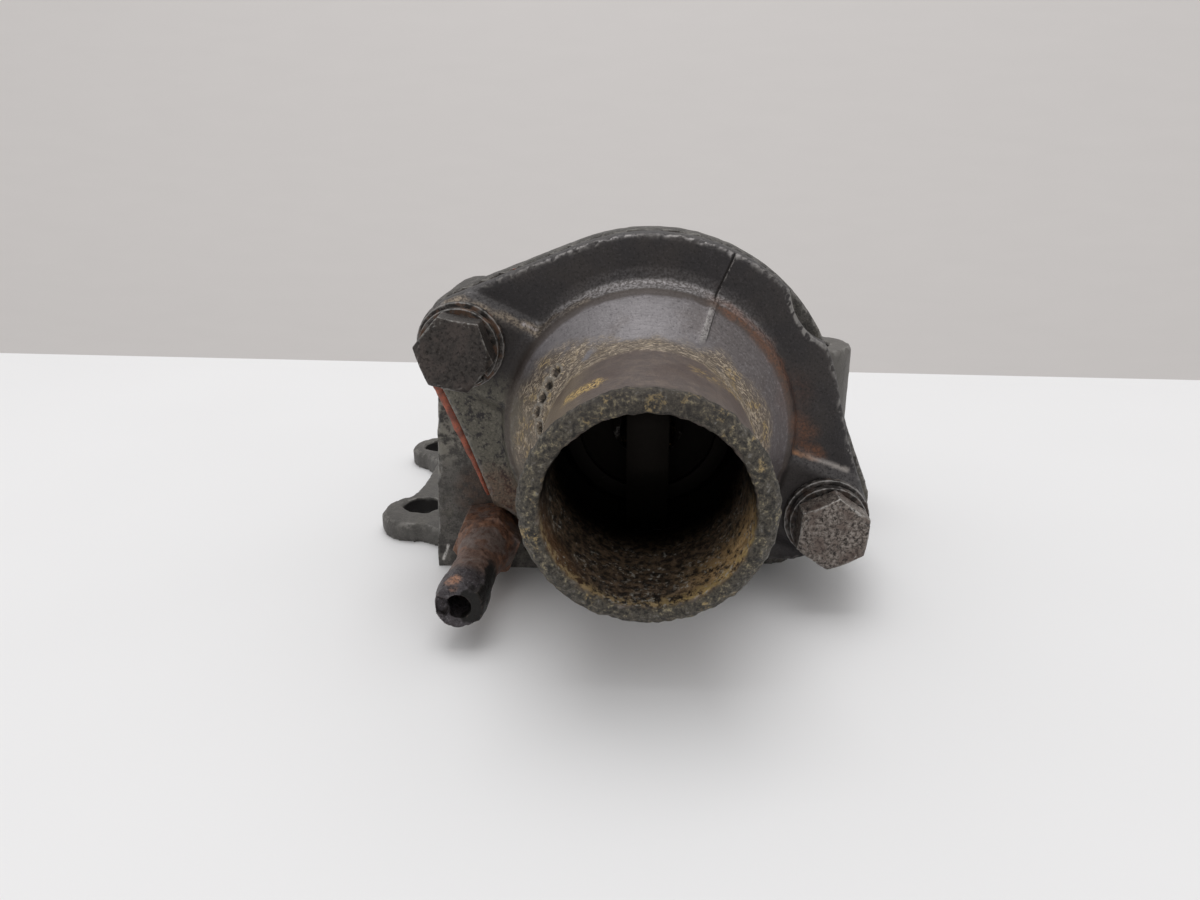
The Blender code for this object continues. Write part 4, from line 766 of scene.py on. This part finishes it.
def lay_crust(finish, at):
    """Gives the crust's mask and its crumbs."""
    crust = at.depth.step(8.0, 5.5) * at.radius.step(BORE_RADIUS - 0.3, BORE_RADIUS + 0.5)
    crumbs, deposit = crust_colour(finish, 5.0)
    finish.lay(deposit, crust)
    gold_crumbs = finish.noise(3.0, detail=3.0, shift=44.0).step(0.58, 0.66)
    finish.lay(GOLD, crust * gold_crumbs * crumbs.step(0.48, 0.58) * 0.6)
    # Painted shade: the crust's top is made darker and browner, against the lamp above.
    finish.lay(TOP_SHADE_BROWN, crust * at.true_z.step(46.0, 56.0) * 0.45)
    # Painted highlight on the rim's lower outer edge.
    outer_lip_highlight = at.sharp_radius.step(20.2, 20.9) * at.true_z.step(36.0, 24.0)
    finish.lay(LIP_HIGHLIGHT, crust * outer_lip_highlight * at.fine.step(0.40, 0.56) * 0.6)
    return crust, crumbs


def lay_gold(finish, at):
    patch = finish.near_line((-13.2, -44.6, 48.6), (-8.8, -46.4, 51.3), 0.7, 2.6, at.wavy)
    finish.lay(PATCH_GOLD, patch * at.fine.step(0.44, 0.56))
    finish.lay(SOOT_AND_SHADE, patch * at.fine.step(0.43, 0.36) * 0.8)
    streaks = finish.near_line((8.2, -40.8, 52.1), (14.2, -38.4, 47.8), 0.8, 3.0, at.wavy)
    lines = scratch_lines(finish, at.depth, at.girth, at.radius, 0.2, 90.0)
    finish.lay(GOLD, streaks * lines)


# %% [markdown]
# Inside, the bore is dark brown with pale flecks on its floor and gold beside the mouth at the right.
# Further in and higher up the bore is painted black, as painted shade, which keeps the depth dark in any light.

# %% Bore
BORE_BLACK = (0.018, 0.013, 0.010)
BORE_BROWN = (0.180, 0.125, 0.080)
BORE_GOLD = (0.52, 0.34, 0.16)
BORE_RUST = (0.17, 0.085, 0.035)
BORE_SAND = (0.36, 0.26, 0.13)
FLECK_PALE = (0.48, 0.46, 0.41)


def bore_colour(finish, at):
    x, z, depth = at.x, at.z, at.depth
    sludge = finish.noise(1.2, detail=5.0, rough=0.72, shift=9.0)
    wall = finish.mix(BORE_BLACK, BORE_BROWN, sludge.step(0.40, 0.62))
    golden = x.step(3.0, 14.0) * depth.step(14.0, 4.0)
    wall = finish.mix(wall, BORE_GOLD, golden * sludge.step(0.36, 0.54))
    wall = finish.mix(wall, BORE_RUST, x.step(-8.0, -15.0) * depth.step(9.0, 3.0) * 0.7)
    low = z.step(44.0, 34.0) * depth.step(3.6, 1.4)
    sand = finish.mix(BORE_SAND, GOLD, x.step(0.0, 10.0))
    wall = finish.mix(wall, sand, low * sludge.step(0.44, 0.56))
    flecks = finish.noise(0.8, detail=4.0, rough=0.7, shift=21.0).step(0.55, 0.63)
    patches = finish.noise(4.0, detail=2.0, shift=33.0).step(0.42, 0.56)
    wall = finish.mix(wall, FLECK_PALE, flecks * patches * depth.step(22.0, 15.0) * 0.85)
    # Painted shade: the upper wall and the depth of the bore are black.
    upper = z.step(27.0, 38.0)
    return finish.mix(wall, SOOT_AND_SHADE, upper.larger(depth.step(14.0, 27.0)))


# %% [markdown]
# The pits are black with pale, crusted rims. Dirt fills the groove at the dome's foot, and rust runs from
# it down the right side, on both faces of the lower right arm, and a little at the lower left.
# Along that arm's slope runs a painted highlight line, orange to grey.

# %% Pits, groove and rust
PIT_RIM = (0.36, 0.33, 0.28)
GROOVE_DIRT = (0.066, 0.052, 0.045)
RUST_DARK = (0.105, 0.050, 0.028)
RUST = (0.26, 0.095, 0.036)
SLOPE_RUST_HIGHLIGHT = (0.40, 0.205, 0.105)
SLOPE_HIGHLIGHT_GREY = (0.36, 0.33, 0.31)


def lay_pits(finish, at):
    for pit in PITS:
        finish.lay(shaded(SOOT_AND_SHADE, 0.6), finish.near(pit, 0.6, 1.15, at.ragged))
        rim = finish.near(pit, 1.5, 2.1, at.ragged) - finish.near(pit, 1.1, 1.4, at.ragged)
        finish.lay(PIT_RIM, rim * at.fine.step(0.40, 0.54) * 0.7)


def lay_groove_dirt(finish, at):
    """Gives the groove's mask."""
    at_groove = abs(at.true_y - GROOVE_Y).step(0.75, 0.35) * at.radius.step(24.2, 25.0)
    at_groove = at_groove * at.radius.step(28.8, 28.0)
    finish.lay(GROOVE_DIRT, at_groove * 0.75)
    return at_groove


def lay_rust(finish, at, inside):
    """Gives the rust's mask."""
    run = abs(at.y + 19.6).step(2.2, 0.7)
    run = run * at.radius.step(24.4, 25.4) * at.radius.step(29.5, 28.2)
    rust = run * at.x.step(9.0, 15.0) * at.z.step(40.0, 47.0) * 0.45
    rust = rust.larger(finish.near_line((27.5, -19.0, 37.0), (31.0, -17.6, 34.0), 0.2, 3.6, at.wavy) * 0.42)
    rust = rust.larger(finish.near_line((26.5, -19.0, 33.0), (34.0, -17.6, 29.8), 0.2, 2.2, at.wavy) * 0.55)
    rust = rust.larger(finish.near((27.0, -19.0, 42.0), 1.0, 7.0, at.wavy) * 0.15)
    rust = rust.larger(finish.near((-31.0, -17.0, 19.0), 3.0, 9.0, at.wavy) * 0.28)
    rust = rust * at.middle.step(0.22, 0.50) * (1 - inside)
    rust_colour = finish.mix(RUST_DARK, RUST, at.fine.step(0.35, 0.62))
    finish.lay(rust_colour, rust)
    # Painted highlight along the slope's edge, orange at the left and grey at the right.
    slope_highlight = finish.near_line((27.5, -19.0, 31.0), (39.6, -17.6, 26.3), 0.0, 0.9, at.ragged)
    slope_highlight_colour = finish.mix(SLOPE_RUST_HIGHLIGHT, SLOPE_HIGHLIGHT_GREY, at.x.step(29.0, 35.0))
    finish.lay(slope_highlight_colour, slope_highlight * at.fine.step(0.26, 0.44) * 0.85)
    return rust


# %% [markdown]
# Last, every edge that stands out is worn to bare metal in places, the top lip's edge is also given painted
# highlight, and every hollow is darkened, partly as dirt and partly as painted shade.
# The relief stored on the mesh says where that is, so the wear follows the sculpted form by itself.

# %% Worn edges, and the whole finish
THIN_EDGE = (0.30, 0.29, 0.28)
TOP_LIP_HIGHLIGHT = (0.44, 0.42, 0.42)
HOLLOW_DIRT_AND_SHADE = (0.030, 0.025, 0.022)


def lay_wear(finish, at, bare, inside):
    """Gives the mask of the worn edges."""
    edge = at.relief.step(0.05, 0.12) * at.middle.step(0.42, 0.56) * bare
    finish.lay(BARE_METAL, edge * 0.38)
    thin_edge = finish.near_line((26.0, -16.8, 62.0), (39.4, -16.9, 32.4), 1.0, 6.0)
    finish.lay(THIN_EDGE, thin_edge * at.relief.step(0.08, 0.12) * 0.4)
    # The top lip's edge: worn chips and painted highlight.
    lip_highlight = at.true_z.step(63.0, 68.0) * at.relief.step(0.07, 0.12)
    finish.lay(TOP_LIP_HIGHLIGHT, lip_highlight * at.fine.step(0.36, 0.52) * 0.55)
    # Hollows darkened: partly dirt, partly painted shade.
    dirt_and_shade = at.relief.step(-0.03, -0.11) * (1 - inside)
    finish.lay(HOLLOW_DIRT_AND_SHADE, dirt_and_shade * 0.55)
    return edge


def cover_finish():
    finish = Finish("cast_cover")
    at = CoverPlaces(finish)
    inside = finish.attribute("inner") * at.sharp_depth.step(0.2, 1.0)
    on_dome = at.true_y.step(GROOVE_Y + 0.4, GROOVE_Y - 0.5) * at.radius.step(29.0, 27.5)

    finish.colour = flange_colour(finish, at)
    finish.lay(dome_colour(finish, at), on_dome)
    ring_highlight = lay_ring_highlight(finish, at)
    lay_arm_band(finish, at)
    on_neck = lay_neck(finish, at)
    scratched = lay_root(finish, at)
    groove = lay_seam(finish, at)
    crust, crumbs = lay_crust(finish, at)
    lay_gold(finish, at)
    finish.lay(bore_colour(finish, at), inside)
    lay_pits(finish, at)
    at_groove = lay_groove_dirt(finish, at)
    rust = lay_rust(finish, at, inside)
    bare = (1 - inside) * (1 - crust) * (1 - at_groove) * (1 - ring_highlight * 0.8)
    edge = lay_wear(finish, at, bare, inside)

    rough = 0.50 + (at.middle - 0.5) * 0.22 + crust * 0.2 + rust * 0.22
    rough = rough + inside * 0.12 - edge * 0.10 - on_neck * 0.05
    deep = inside * at.depth.step(14.0, 24.0).larger(at.z.step(30.0, 38.0))
    metal = 0.50 - rust * 0.45 - crust * 0.40 - inside * 0.25 + deep * 0.75
    height = at.fine * 0.50 + at.middle * 0.4 + at.brushed * 0.2 + scratched * 0.8
    height = height + crumbs * crust * 3.4 - groove * 1.0
    return finish.done(rough, metal, height, 0.22)


finish_piece(cover, cover_finish())

# %% [markdown]
# The body is the other casting. It stands behind the cover, with a flat base, two ears, a block and a boss.
# Its skin is coarser than the cover's and its edges are knocked. The base stays flat, as it is stood on.

# %% The body's shape
HOLES = [((-53.6, 10.6), 4.7, 4.4), ((-58.3, 53.0), 4.7, 4.4), ((39.5, 31.5), 4.7, 40.3)]
BLOCK_NICK = (-44.0, -12.0, 3.9)
CHAMBER_HEIGHT = 34.3

body = working_copy("housing_body")
even_grid(body, 0.75, 1)
places = points_of(body)[0]
edges = relief_of(body, 5)
heights = 0.07 * lumps(places, 3.2, seed=11) + 0.05 * lumps(places, 1.5, seed=12)
nick = np.linalg.norm(places - np.array(BLOCK_NICK), axis=1)
heights -= 0.6 * np.exp(-(nick / 1.3) ** 2)
chips = soft_step(lumps(places, 2.2, seed=13), 0.1, 0.45) * soft_step(edges, 0.06, 0.2)
heights -= 0.3 * chips
heights *= soft_step(places[:, 2], 0.1, 1.2)
sculpt(body, heights)
keep_numbers(body, "relief", relief_of(body, 4))
keep_numbers(body, "hollow", relief_of(body, 30))

# %% [markdown]
# The body is blotched with grey and brown. Its block is paler above, and its inside is black, partly sludge
# and partly painted shade. Its creases are darkened, partly as dirt and partly as painted shade.
# The walls of its bolt holes get painted shade, and one bright nick crosses the foot of the block.

# %% The body's finish
BODY_GREY = (0.122, 0.114, 0.104)
BODY_DARK = (0.034, 0.030, 0.028)
BODY_BEIGE = (0.16, 0.147, 0.120)
SPECK_DARK = (0.030, 0.027, 0.026)
SPECK_PALE = (0.24, 0.225, 0.19)
BLOCK_PALE = (0.25, 0.235, 0.20)
EAR_GREY = (0.105, 0.101, 0.095)
BOSS_GREY = (0.135, 0.127, 0.118)
BODY_RUST_DARK = (0.07, 0.042, 0.030)
BODY_RUST = (0.14, 0.070, 0.038)
SLUDGE_AND_SHADE = (0.05, 0.038, 0.028)
BODY_EDGE = (0.26, 0.25, 0.235)
HOLE_SHADE = (0.018, 0.016, 0.015)
NICK_WHITE = (0.62, 0.60, 0.57)


def from_axis(finish, one, other):
    """The distance from an axis, worked out from the two offsets at right angles to it."""
    return finish.vector("LENGTH", {
        0: finish.join(one, 0.0, other)}, output=1)


def body_finish():
    finish = Finish("cast_body")
    wavy = finish.wavy_point(4.0, 1.6)
    x, y, z = finish.split(wavy)
    true_x, true_y, true_z = finish.split(finish.point)
    relief = finish.attribute("relief")
    hollow = finish.attribute("hollow")
    fine = finish.noise(0.4, detail=3.0, rough=0.7)
    middle = finish.noise(1.9, detail=4.0, rough=0.65)
    broad = finish.noise(8.0, detail=4.0, rough=0.6)

    skin = finish.mix(shaded(BODY_GREY, 0.50), BODY_GREY, middle.step(0.38, 0.62))
    finish.colour = finish.layered(skin, (BODY_DARK, broad, 0.46, 0.66, 0.75),
                                   (BODY_BEIGE, broad, 0.44, 0.34, 0.5),
                                   (SPECK_DARK, fine, 0.46, 0.36, 0.7),
                                   (SPECK_PALE, fine, 0.56, 0.68, 0.40))
    upper_block = finish.near((-41.0, -12.0, 34.0), 5.0, 13.0) * 0.8
    finish.lay(BLOCK_PALE, upper_block * middle.step(0.38, 0.58))
    finish.lay(EAR_GREY, x.step(-43.5, -45.0) * z.step(7.0, 6.0) * 0.45)
    upper_boss = finish.near((43.0, 31.5, 36.0), 12.0, 20.0)
    finish.lay(BOSS_GREY, upper_boss * middle.step(0.15, 0.45) * 0.75)

    rust = hollow.step(-0.1, -0.5) * broad.step(0.45, 0.6)
    rust = rust.larger(finish.near((-33.0, -13.0, 17.0), 5.0, 9.0, wavy) * 0.6) * middle.step(0.3, 0.6)
    finish.lay(finish.mix(BODY_RUST_DARK, BODY_RUST, fine), rust * 0.8)
    # The chamber's inside is black: partly sludge, partly painted shade.
    wet_and_shaded = from_axis(finish, x, z - CHAMBER_HEIGHT).step(26.0, 24.5)
    wet_and_shaded = wet_and_shaded * y.step(44.0, 41.0) * z.step(3.0, 6.0)
    finish.lay(finish.mix(SOOT_AND_SHADE, SLUDGE_AND_SHADE, middle), wet_and_shaded)
    edge = relief.step(0.06, 0.16) * middle.step(0.42, 0.58) * (1 - wet_and_shaded)
    finish.lay(BODY_EDGE, edge * 0.45)
    # Creases darkened: partly dirt, partly painted shade.
    finish.lay(SOOT_AND_SHADE, relief.step(-0.02, -0.1) * 0.5)
    # Painted shade on the walls of the bolt holes.
    for (hole_x, hole_y), reach, top in HOLES:
        away = from_axis(finish, true_x - hole_x, true_y - hole_y)
        hole_shade_mask = away.step(reach + 0.15, reach - 0.25) * true_z.step(top, top - 0.6)
        finish.lay(HOLE_SHADE, hole_shade_mask)
    nick_line = finish.near_line((-43.9, -11.9, 1.7), (-42.7, -11.9, 5.0), 0.05, 0.50)
    finish.lay(NICK_WHITE, nick_line * fine.step(0.34, 0.48) * 0.9)

    rough = 0.56 + (middle - 0.5) * 0.25 + rust * 0.2 - edge * 0.12
    metal = 0.45 - rust * 0.4 - wet_and_shaded * 0.2
    height = fine * 0.7 + middle * 0.8 + finish.cells(1.4).step(0.0, 0.35) * 0.2
    return finish.done(rough, metal, height, 0.20)


finish_piece(body, body_finish())

# %% [markdown]
# The two bolts have black, pitted heads. The lower one is more rubbed than the upper one, so its metal shows.
# Both come from one function that takes how much of the black is gone.

# %% Bolts
BOLT_BLACK = (0.026, 0.023, 0.022)
BOLT_GREY = (0.205, 0.172, 0.150)
BOLT_BARE = (0.36, 0.33, 0.30)
BOLT_PIT = (0.014, 0.011, 0.010)
BOLT_BROWN = (0.085, 0.052, 0.040)
BOLT_EDGE = (0.44, 0.43, 0.41)
BOLT_DIRT_AND_SHADE = (0.020, 0.016, 0.014)


def bolt_finish(name, rubbed):
    finish = Finish(name)
    relief = finish.attribute("relief")
    fine = finish.noise(0.35, detail=3.0, rough=0.7)
    middle = finish.noise(0.7, detail=5.0, rough=0.72)
    broad = finish.noise(3.5, detail=4.0, rough=0.6, shift=17.0)
    pits = finish.noise(0.45, detail=4.0, rough=0.7, shift=3.0).step(0.42, 0.34)
    shown = middle.step(0.58 - 0.12 * rubbed, 0.68 - 0.06 * rubbed) * broad.step(0.58, 0.42)
    finish.colour = finish.mix(BOLT_BLACK, BOLT_GREY, rubbed * middle.step(0.34, 0.56))
    finish.lay(BOLT_BARE, shown * (0.06 + 0.70 * rubbed))
    finish.lay(BOLT_PIT, pits * 0.85)
    brown = broad.step(0.50, 0.62)
    finish.lay(BOLT_BROWN, brown * (0.15 + 0.35 * rubbed))
    edge = relief.step(0.02, 0.055) * middle.step(0.32, 0.50)
    finish.lay(BOLT_EDGE, edge * (0.35 + 0.50 * rubbed))
    # Creases darkened: partly dirt, partly painted shade.
    finish.lay(BOLT_DIRT_AND_SHADE, relief.step(-0.01, -0.04) * 0.8)
    rough = 0.48 + (middle - 0.5) * 0.3 + pits * 0.2 - edge * 0.15
    metal = 0.70 - pits * 0.4 - brown * 0.3
    return finish.done(rough, metal, fine * 0.4 + middle * 0.8 - pits * 1.0, 0.11)


for corner, rubbed in (("upper_left", 0.15), ("lower_right", 0.9)):
    bolt = working_copy("bolt_" + corner)
    even_grid(bolt, 0.19, 2)
    places = points_of(bolt)[0]
    heights = 0.035 * lumps(places, 1.1, seed=21) + 0.03 * lumps(places, 2.7, seed=22)
    heights -= 0.10 * soft_step(lumps(places, 0.9, seed=23), 0.25, 0.5)
    sculpt(bolt, heights)
    keep_numbers(bolt, "relief", relief_of(bolt, 5))
    finish_piece(bolt, bolt_finish("bolt_" + corner, rubbed))

# %% [markdown]
# Under each head sit a split spring washer and a flat one. Rust has grown between them, more at the upper left.
# The smoothing rounds their edges a little, and those edges are worn bright.

# %% Washers
WASHER_BLACK = (0.030, 0.026, 0.024)
WASHER_GREY = (0.14, 0.128, 0.12)
WASHER_RUST_DARK = (0.070, 0.040, 0.026)
WASHER_RUST = (0.17, 0.085, 0.045)
WASHER_EDGE = (0.42, 0.41, 0.40)


def washer_finish(name, rusty):
    finish = Finish(name)
    relief = finish.attribute("relief")
    fine = finish.noise(0.25, detail=3.0, rough=0.7)
    middle = finish.noise(1.4, detail=4.0, rough=0.65)
    finish.colour = finish.mix(WASHER_BLACK, WASHER_GREY, middle.step(0.44, 0.64))
    rust = finish.noise(2.2, detail=4.0, shift=6.0).step(0.48, 0.62)
    finish.lay(finish.mix(WASHER_RUST_DARK, WASHER_RUST, fine), rust * rusty)
    edge = relief.step(0.015, 0.05) * middle.step(0.32, 0.50)
    finish.lay(WASHER_EDGE, edge * (0.85 - 0.35 * rusty))
    rough = 0.5 + rust * 0.25 * rusty + (middle - 0.5) * 0.2
    return finish.done(rough, 0.6 - rust * 0.5 * rusty, fine * 0.5 + middle * 0.7, 0.08)


for corner, rusty in (("upper_left", 0.75), ("lower_right", 0.25)):
    washer_steel = washer_finish("washers_" + corner, rusty)
    for kind in ("lock_washer_", "flat_washer_"):
        washer = working_copy(kind + corner)
        even_grid(washer, 0.18, 2)
        places = points_of(washer)[0]
        sculpt(washer, 0.04 * lumps(places, 1.5, seed=31) + 0.02 * lumps(places, 0.6, seed=32))
        keep_numbers(washer, "relief", relief_of(washer, 4))
        finish_piece(washer, washer_steel)

# %% [markdown]
# The hose nipple is a steel fitting screwed into the block. Its end is swollen, and nicked at the right.
# The photograph shows its tip further left than a straight nipple reaches, so the end is bent a little.

# %% The nipple's shape
TIP_BEND = 0.8

nipple_end = Vector(mounts["nipple_end"]["pos_m"]) / MM
nipple = working_copy("hose_nipple")
even_grid(nipple, 0.25, 3)
places, normals = points_of(nipple)
heights = 0.09 * lumps(places, 2.0, seed=41) + 0.06 * lumps(places, 0.9, seed=42)
heights -= 0.14 * soft_step(lumps(places, 1.3, seed=43), 0.2, 0.5)
nipple_radius = np.hypot(places[:, 0] - nipple_end.x, places[:, 2] - nipple_end.z)
thin_side = soft_step(places[:, 1], -34.0, -42.0) * soft_step(normals[:, 0], -0.4, 1.0)
heights -= 0.5 * thin_side * soft_step(nipple_radius, 2.9, 3.4)
sculpt(nipple, heights)
places = points_of(nipple)[0]
places[:, 0] -= TIP_BEND * soft_step(places[:, 1], -20.0, -42.0)
nipple.data.vertices.foreach_set("co", (places * MM).ravel())
nipple.data.update()
keep_numbers(nipple, "relief", relief_of(nipple, 5))

# %% [markdown]
# The nipple is brown with rust. Its last few millimetres are a bluish grey with an orange patch on top,
# and its bore and a ring round its mouth are black, as painted shade.

# %% The nipple's finish
NIPPLE_BROWN = (0.085, 0.042, 0.028)
NIPPLE_RUST = (0.20, 0.100, 0.060)
NIPPLE_GREY = (0.13, 0.110, 0.103)
END_DARK = (0.030, 0.028, 0.034)
END_BLUE = (0.090, 0.084, 0.092)
END_PALE = (0.20, 0.19, 0.20)
END_BLACK = (0.012, 0.011, 0.012)
PATCH_ORANGE = (0.42, 0.205, 0.115)
NIPPLE_EDGE = (0.34, 0.26, 0.21)
NIPPLE_DIRT_AND_SHADE = (0.02, 0.014, 0.012)


def nipple_finish():
    finish = Finish("rusty_steel")
    wavy = finish.wavy_point(2.0, 0.9)
    x, y, z = finish.split(wavy)
    relief = finish.attribute("relief")
    fine = finish.noise(0.3, detail=3.0, rough=0.7)
    middle = finish.noise(1.3, detail=4.0, rough=0.65)
    broad = finish.noise(4.0, detail=3.0)
    finish.colour = finish.mix(NIPPLE_BROWN, NIPPLE_RUST, middle.step(0.38, 0.62))
    grey = broad.step(0.44, 0.58).larger(y.step(-28.0, -34.0) * 0.7)
    finish.lay(NIPPLE_GREY, grey * middle.step(0.30, 0.56) * 0.8)
    end = y.step(-36.0, -40.5)
    finish.lay(finish.mix(END_DARK, END_BLUE, middle), end * 0.9)
    crumbs = finish.noise(0.6, detail=4.0, rough=0.7, shift=5.0)
    finish.lay(END_PALE, end * crumbs.step(0.56, 0.66) * 0.7)
    finish.lay(END_BLACK, end * crumbs.step(0.46, 0.36) * 0.7)
    patch = finish.near((-34.4, -43.6, 13.0), 0.9, 2.1, wavy) * crumbs.step(0.38, 0.52)
    finish.lay(PATCH_ORANGE, patch * 0.85)

    to_axis = from_axis(finish, x - nipple_end.x + TIP_BEND, z - nipple_end.z)
    # Painted shade: the bore and a ring round the mouth are black.
    bore = to_axis.step(3.1, 2.7) * y.step(-30.0, -34.0)
    lower_left = (x - nipple_end.x + (z - nipple_end.z) * 0.6).step(0.2, -0.8)
    mouth_shade = to_axis.step(4.1, 3.6) * y.step(-43.0, -44.0)
    finish.lay(SOOT_AND_SHADE, bore.larger(mouth_shade * (lower_left * 0.3 + 0.7)))
    edge = relief.step(0.03, 0.09) * middle.step(0.40, 0.60)
    finish.lay(NIPPLE_EDGE, edge * (0.5 - end * 0.35))
    # Creases darkened: partly dirt, partly painted shade.
    finish.lay(NIPPLE_DIRT_AND_SHADE, relief.step(-0.02, -0.08) * 0.7)
    rough = 0.55 + (middle - 0.5) * 0.3 - end * 0.1
    metal = 0.35 + end * 0.2 - patch * 0.3
    return finish.done(rough, metal, fine * 0.4 + middle * 1.0 + crumbs * end * 1.2, 0.18)


finish_piece(nipple, nipple_finish())

# %% [markdown]
# Red sealant was pressed out of the joint at the left and cured there, and a crumb of it sits on top.
# It is a matt rubber with dust on it, broad above and narrow below.

# %% Sealant
SEALANT_DARK = (0.16, 0.040, 0.024)
SEALANT_RED = (0.38, 0.095, 0.050)
SEALANT_DUST = (0.13, 0.080, 0.060)
SEALANT_SHADE = (0.06, 0.030, 0.022)

sealant = working_copy("joint_sealant")
even_grid(sealant, 0.35, 2)
places = points_of(sealant)[0]
pressed_out = soft_step(places[:, 0], -20.0, -24.0) * soft_step(places[:, 1], -10.5, -11.5)
swelling = 0.50 * soft_step(places[:, 2], 14.0, 34.0) - 0.22 + 0.20 * lumps(places, 1.8, seed=51)
sculpt(sealant, pressed_out * swelling)


def sealant_finish():
    finish = Finish("sealant")
    fine = finish.noise(0.4, detail=3.0, rough=0.7)
    middle = finish.noise(1.8, detail=4.0)
    finish.colour = finish.mix(SEALANT_DARK, SEALANT_RED, middle.step(0.35, 0.65))
    finish.lay(SEALANT_DUST, fine.step(0.50, 0.60) * 0.7)
    finish.lay(SEALANT_SHADE, fine.step(0.44, 0.36) * 0.6)
    return finish.done(0.65 + (fine - 0.5) * 0.2, 0.0, fine * 0.6 + middle * 0.8, 0.12)


finish_piece(sealant, sealant_finish())

# %% [markdown]
# The valve inside lies in the dark of the neck, and is seen well only when the housing is opened.
# Its pieces keep their exact shapes, with their edges softened by a small bevel, under a dark film that is
# partly sludge and partly painted shade.

# %% The valve's pieces
FILM_SHADE_BLACK = (0.004, 0.0035, 0.003)
FILM_SHADE_BROWN = (0.016, 0.012, 0.009)
BEVEL_WIDTH = 0.12 * MM
BEVEL_ANGLE = math.radians(40)


def sludge_and_shade_finish(name, clean, metal, covered):
    """A metal under a dark film, partly coolant sludge and partly painted shade: the clean colour shows only in
    part.
    """
    finish = Finish(name)
    fine = finish.noise(0.3, detail=3.0, rough=0.7)
    middle = finish.noise(2.2, detail=4.0, rough=0.6)
    # The dark film: partly sludge, partly painted shade.
    film_and_shade = middle.step(0.62 - covered * 0.45, 0.74 - covered * 0.35)
    finish.colour = clean
    finish.lay(finish.mix(FILM_SHADE_BLACK, FILM_SHADE_BROWN, fine), film_and_shade)
    rough = 0.42 + film_and_shade * 0.2 + (fine - 0.5) * 0.15
    return finish.done(rough, metal, fine * 0.5 + middle * 0.6, 0.07)


VALVE_METALS = {
    "plate_steel": sludge_and_shade_finish("plate_steel", (0.06, 0.05, 0.04), 0.8, 1.2),
    "spring_steel": sludge_and_shade_finish("spring_steel", (0.20, 0.19, 0.18), 0.85, 0.7),
    "brass": sludge_and_shade_finish("brass", (0.30, 0.21, 0.09), 0.85, 0.7),
    "seal_rubber": sludge_and_shade_finish("seal_rubber", (0.035, 0.034, 0.033), 0.0, 0.5),
}
VALVE_PIECES = {
    "valve_plate": ("root", "plate_steel"),
    "plate_seal": ("root", "seal_rubber"),
    "piston_bridge": ("root", "plate_steel"),
    "spring_frame": ("root", "plate_steel"),
    "piston": ("root", "spring_steel"),
    "wax_capsule": ("valve", "brass"),
    "capsule_guide": ("valve", "brass"),
    "valve_disc": ("valve", "plate_steel"),
    "disc_clip": ("valve", "spring_steel"),
    "main_spring": ("root", "spring_steel"),
    "jiggle_pin": ("jiggle", "brass"),
}

valve_pieces = {}
for node, (rides_on, slot) in VALVE_PIECES.items():
    piece = working_copy(node, rides_on)
    if node != "main_spring":
        use_modifier(piece, "BEVEL", width=BEVEL_WIDTH, segments=2,
                     limit_method="ANGLE", angle_limit=BEVEL_ANGLE)
    finish_piece(piece, VALVE_METALS[slot], angle=45)
    valve_pieces[node] = piece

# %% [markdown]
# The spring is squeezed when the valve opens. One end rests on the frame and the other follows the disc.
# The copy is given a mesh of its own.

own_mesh(valve_pieces["main_spring"])

# %% [markdown]
# A finished piece must keep the size of the imported one.
# They are compared after each render.

# %% The end
import json
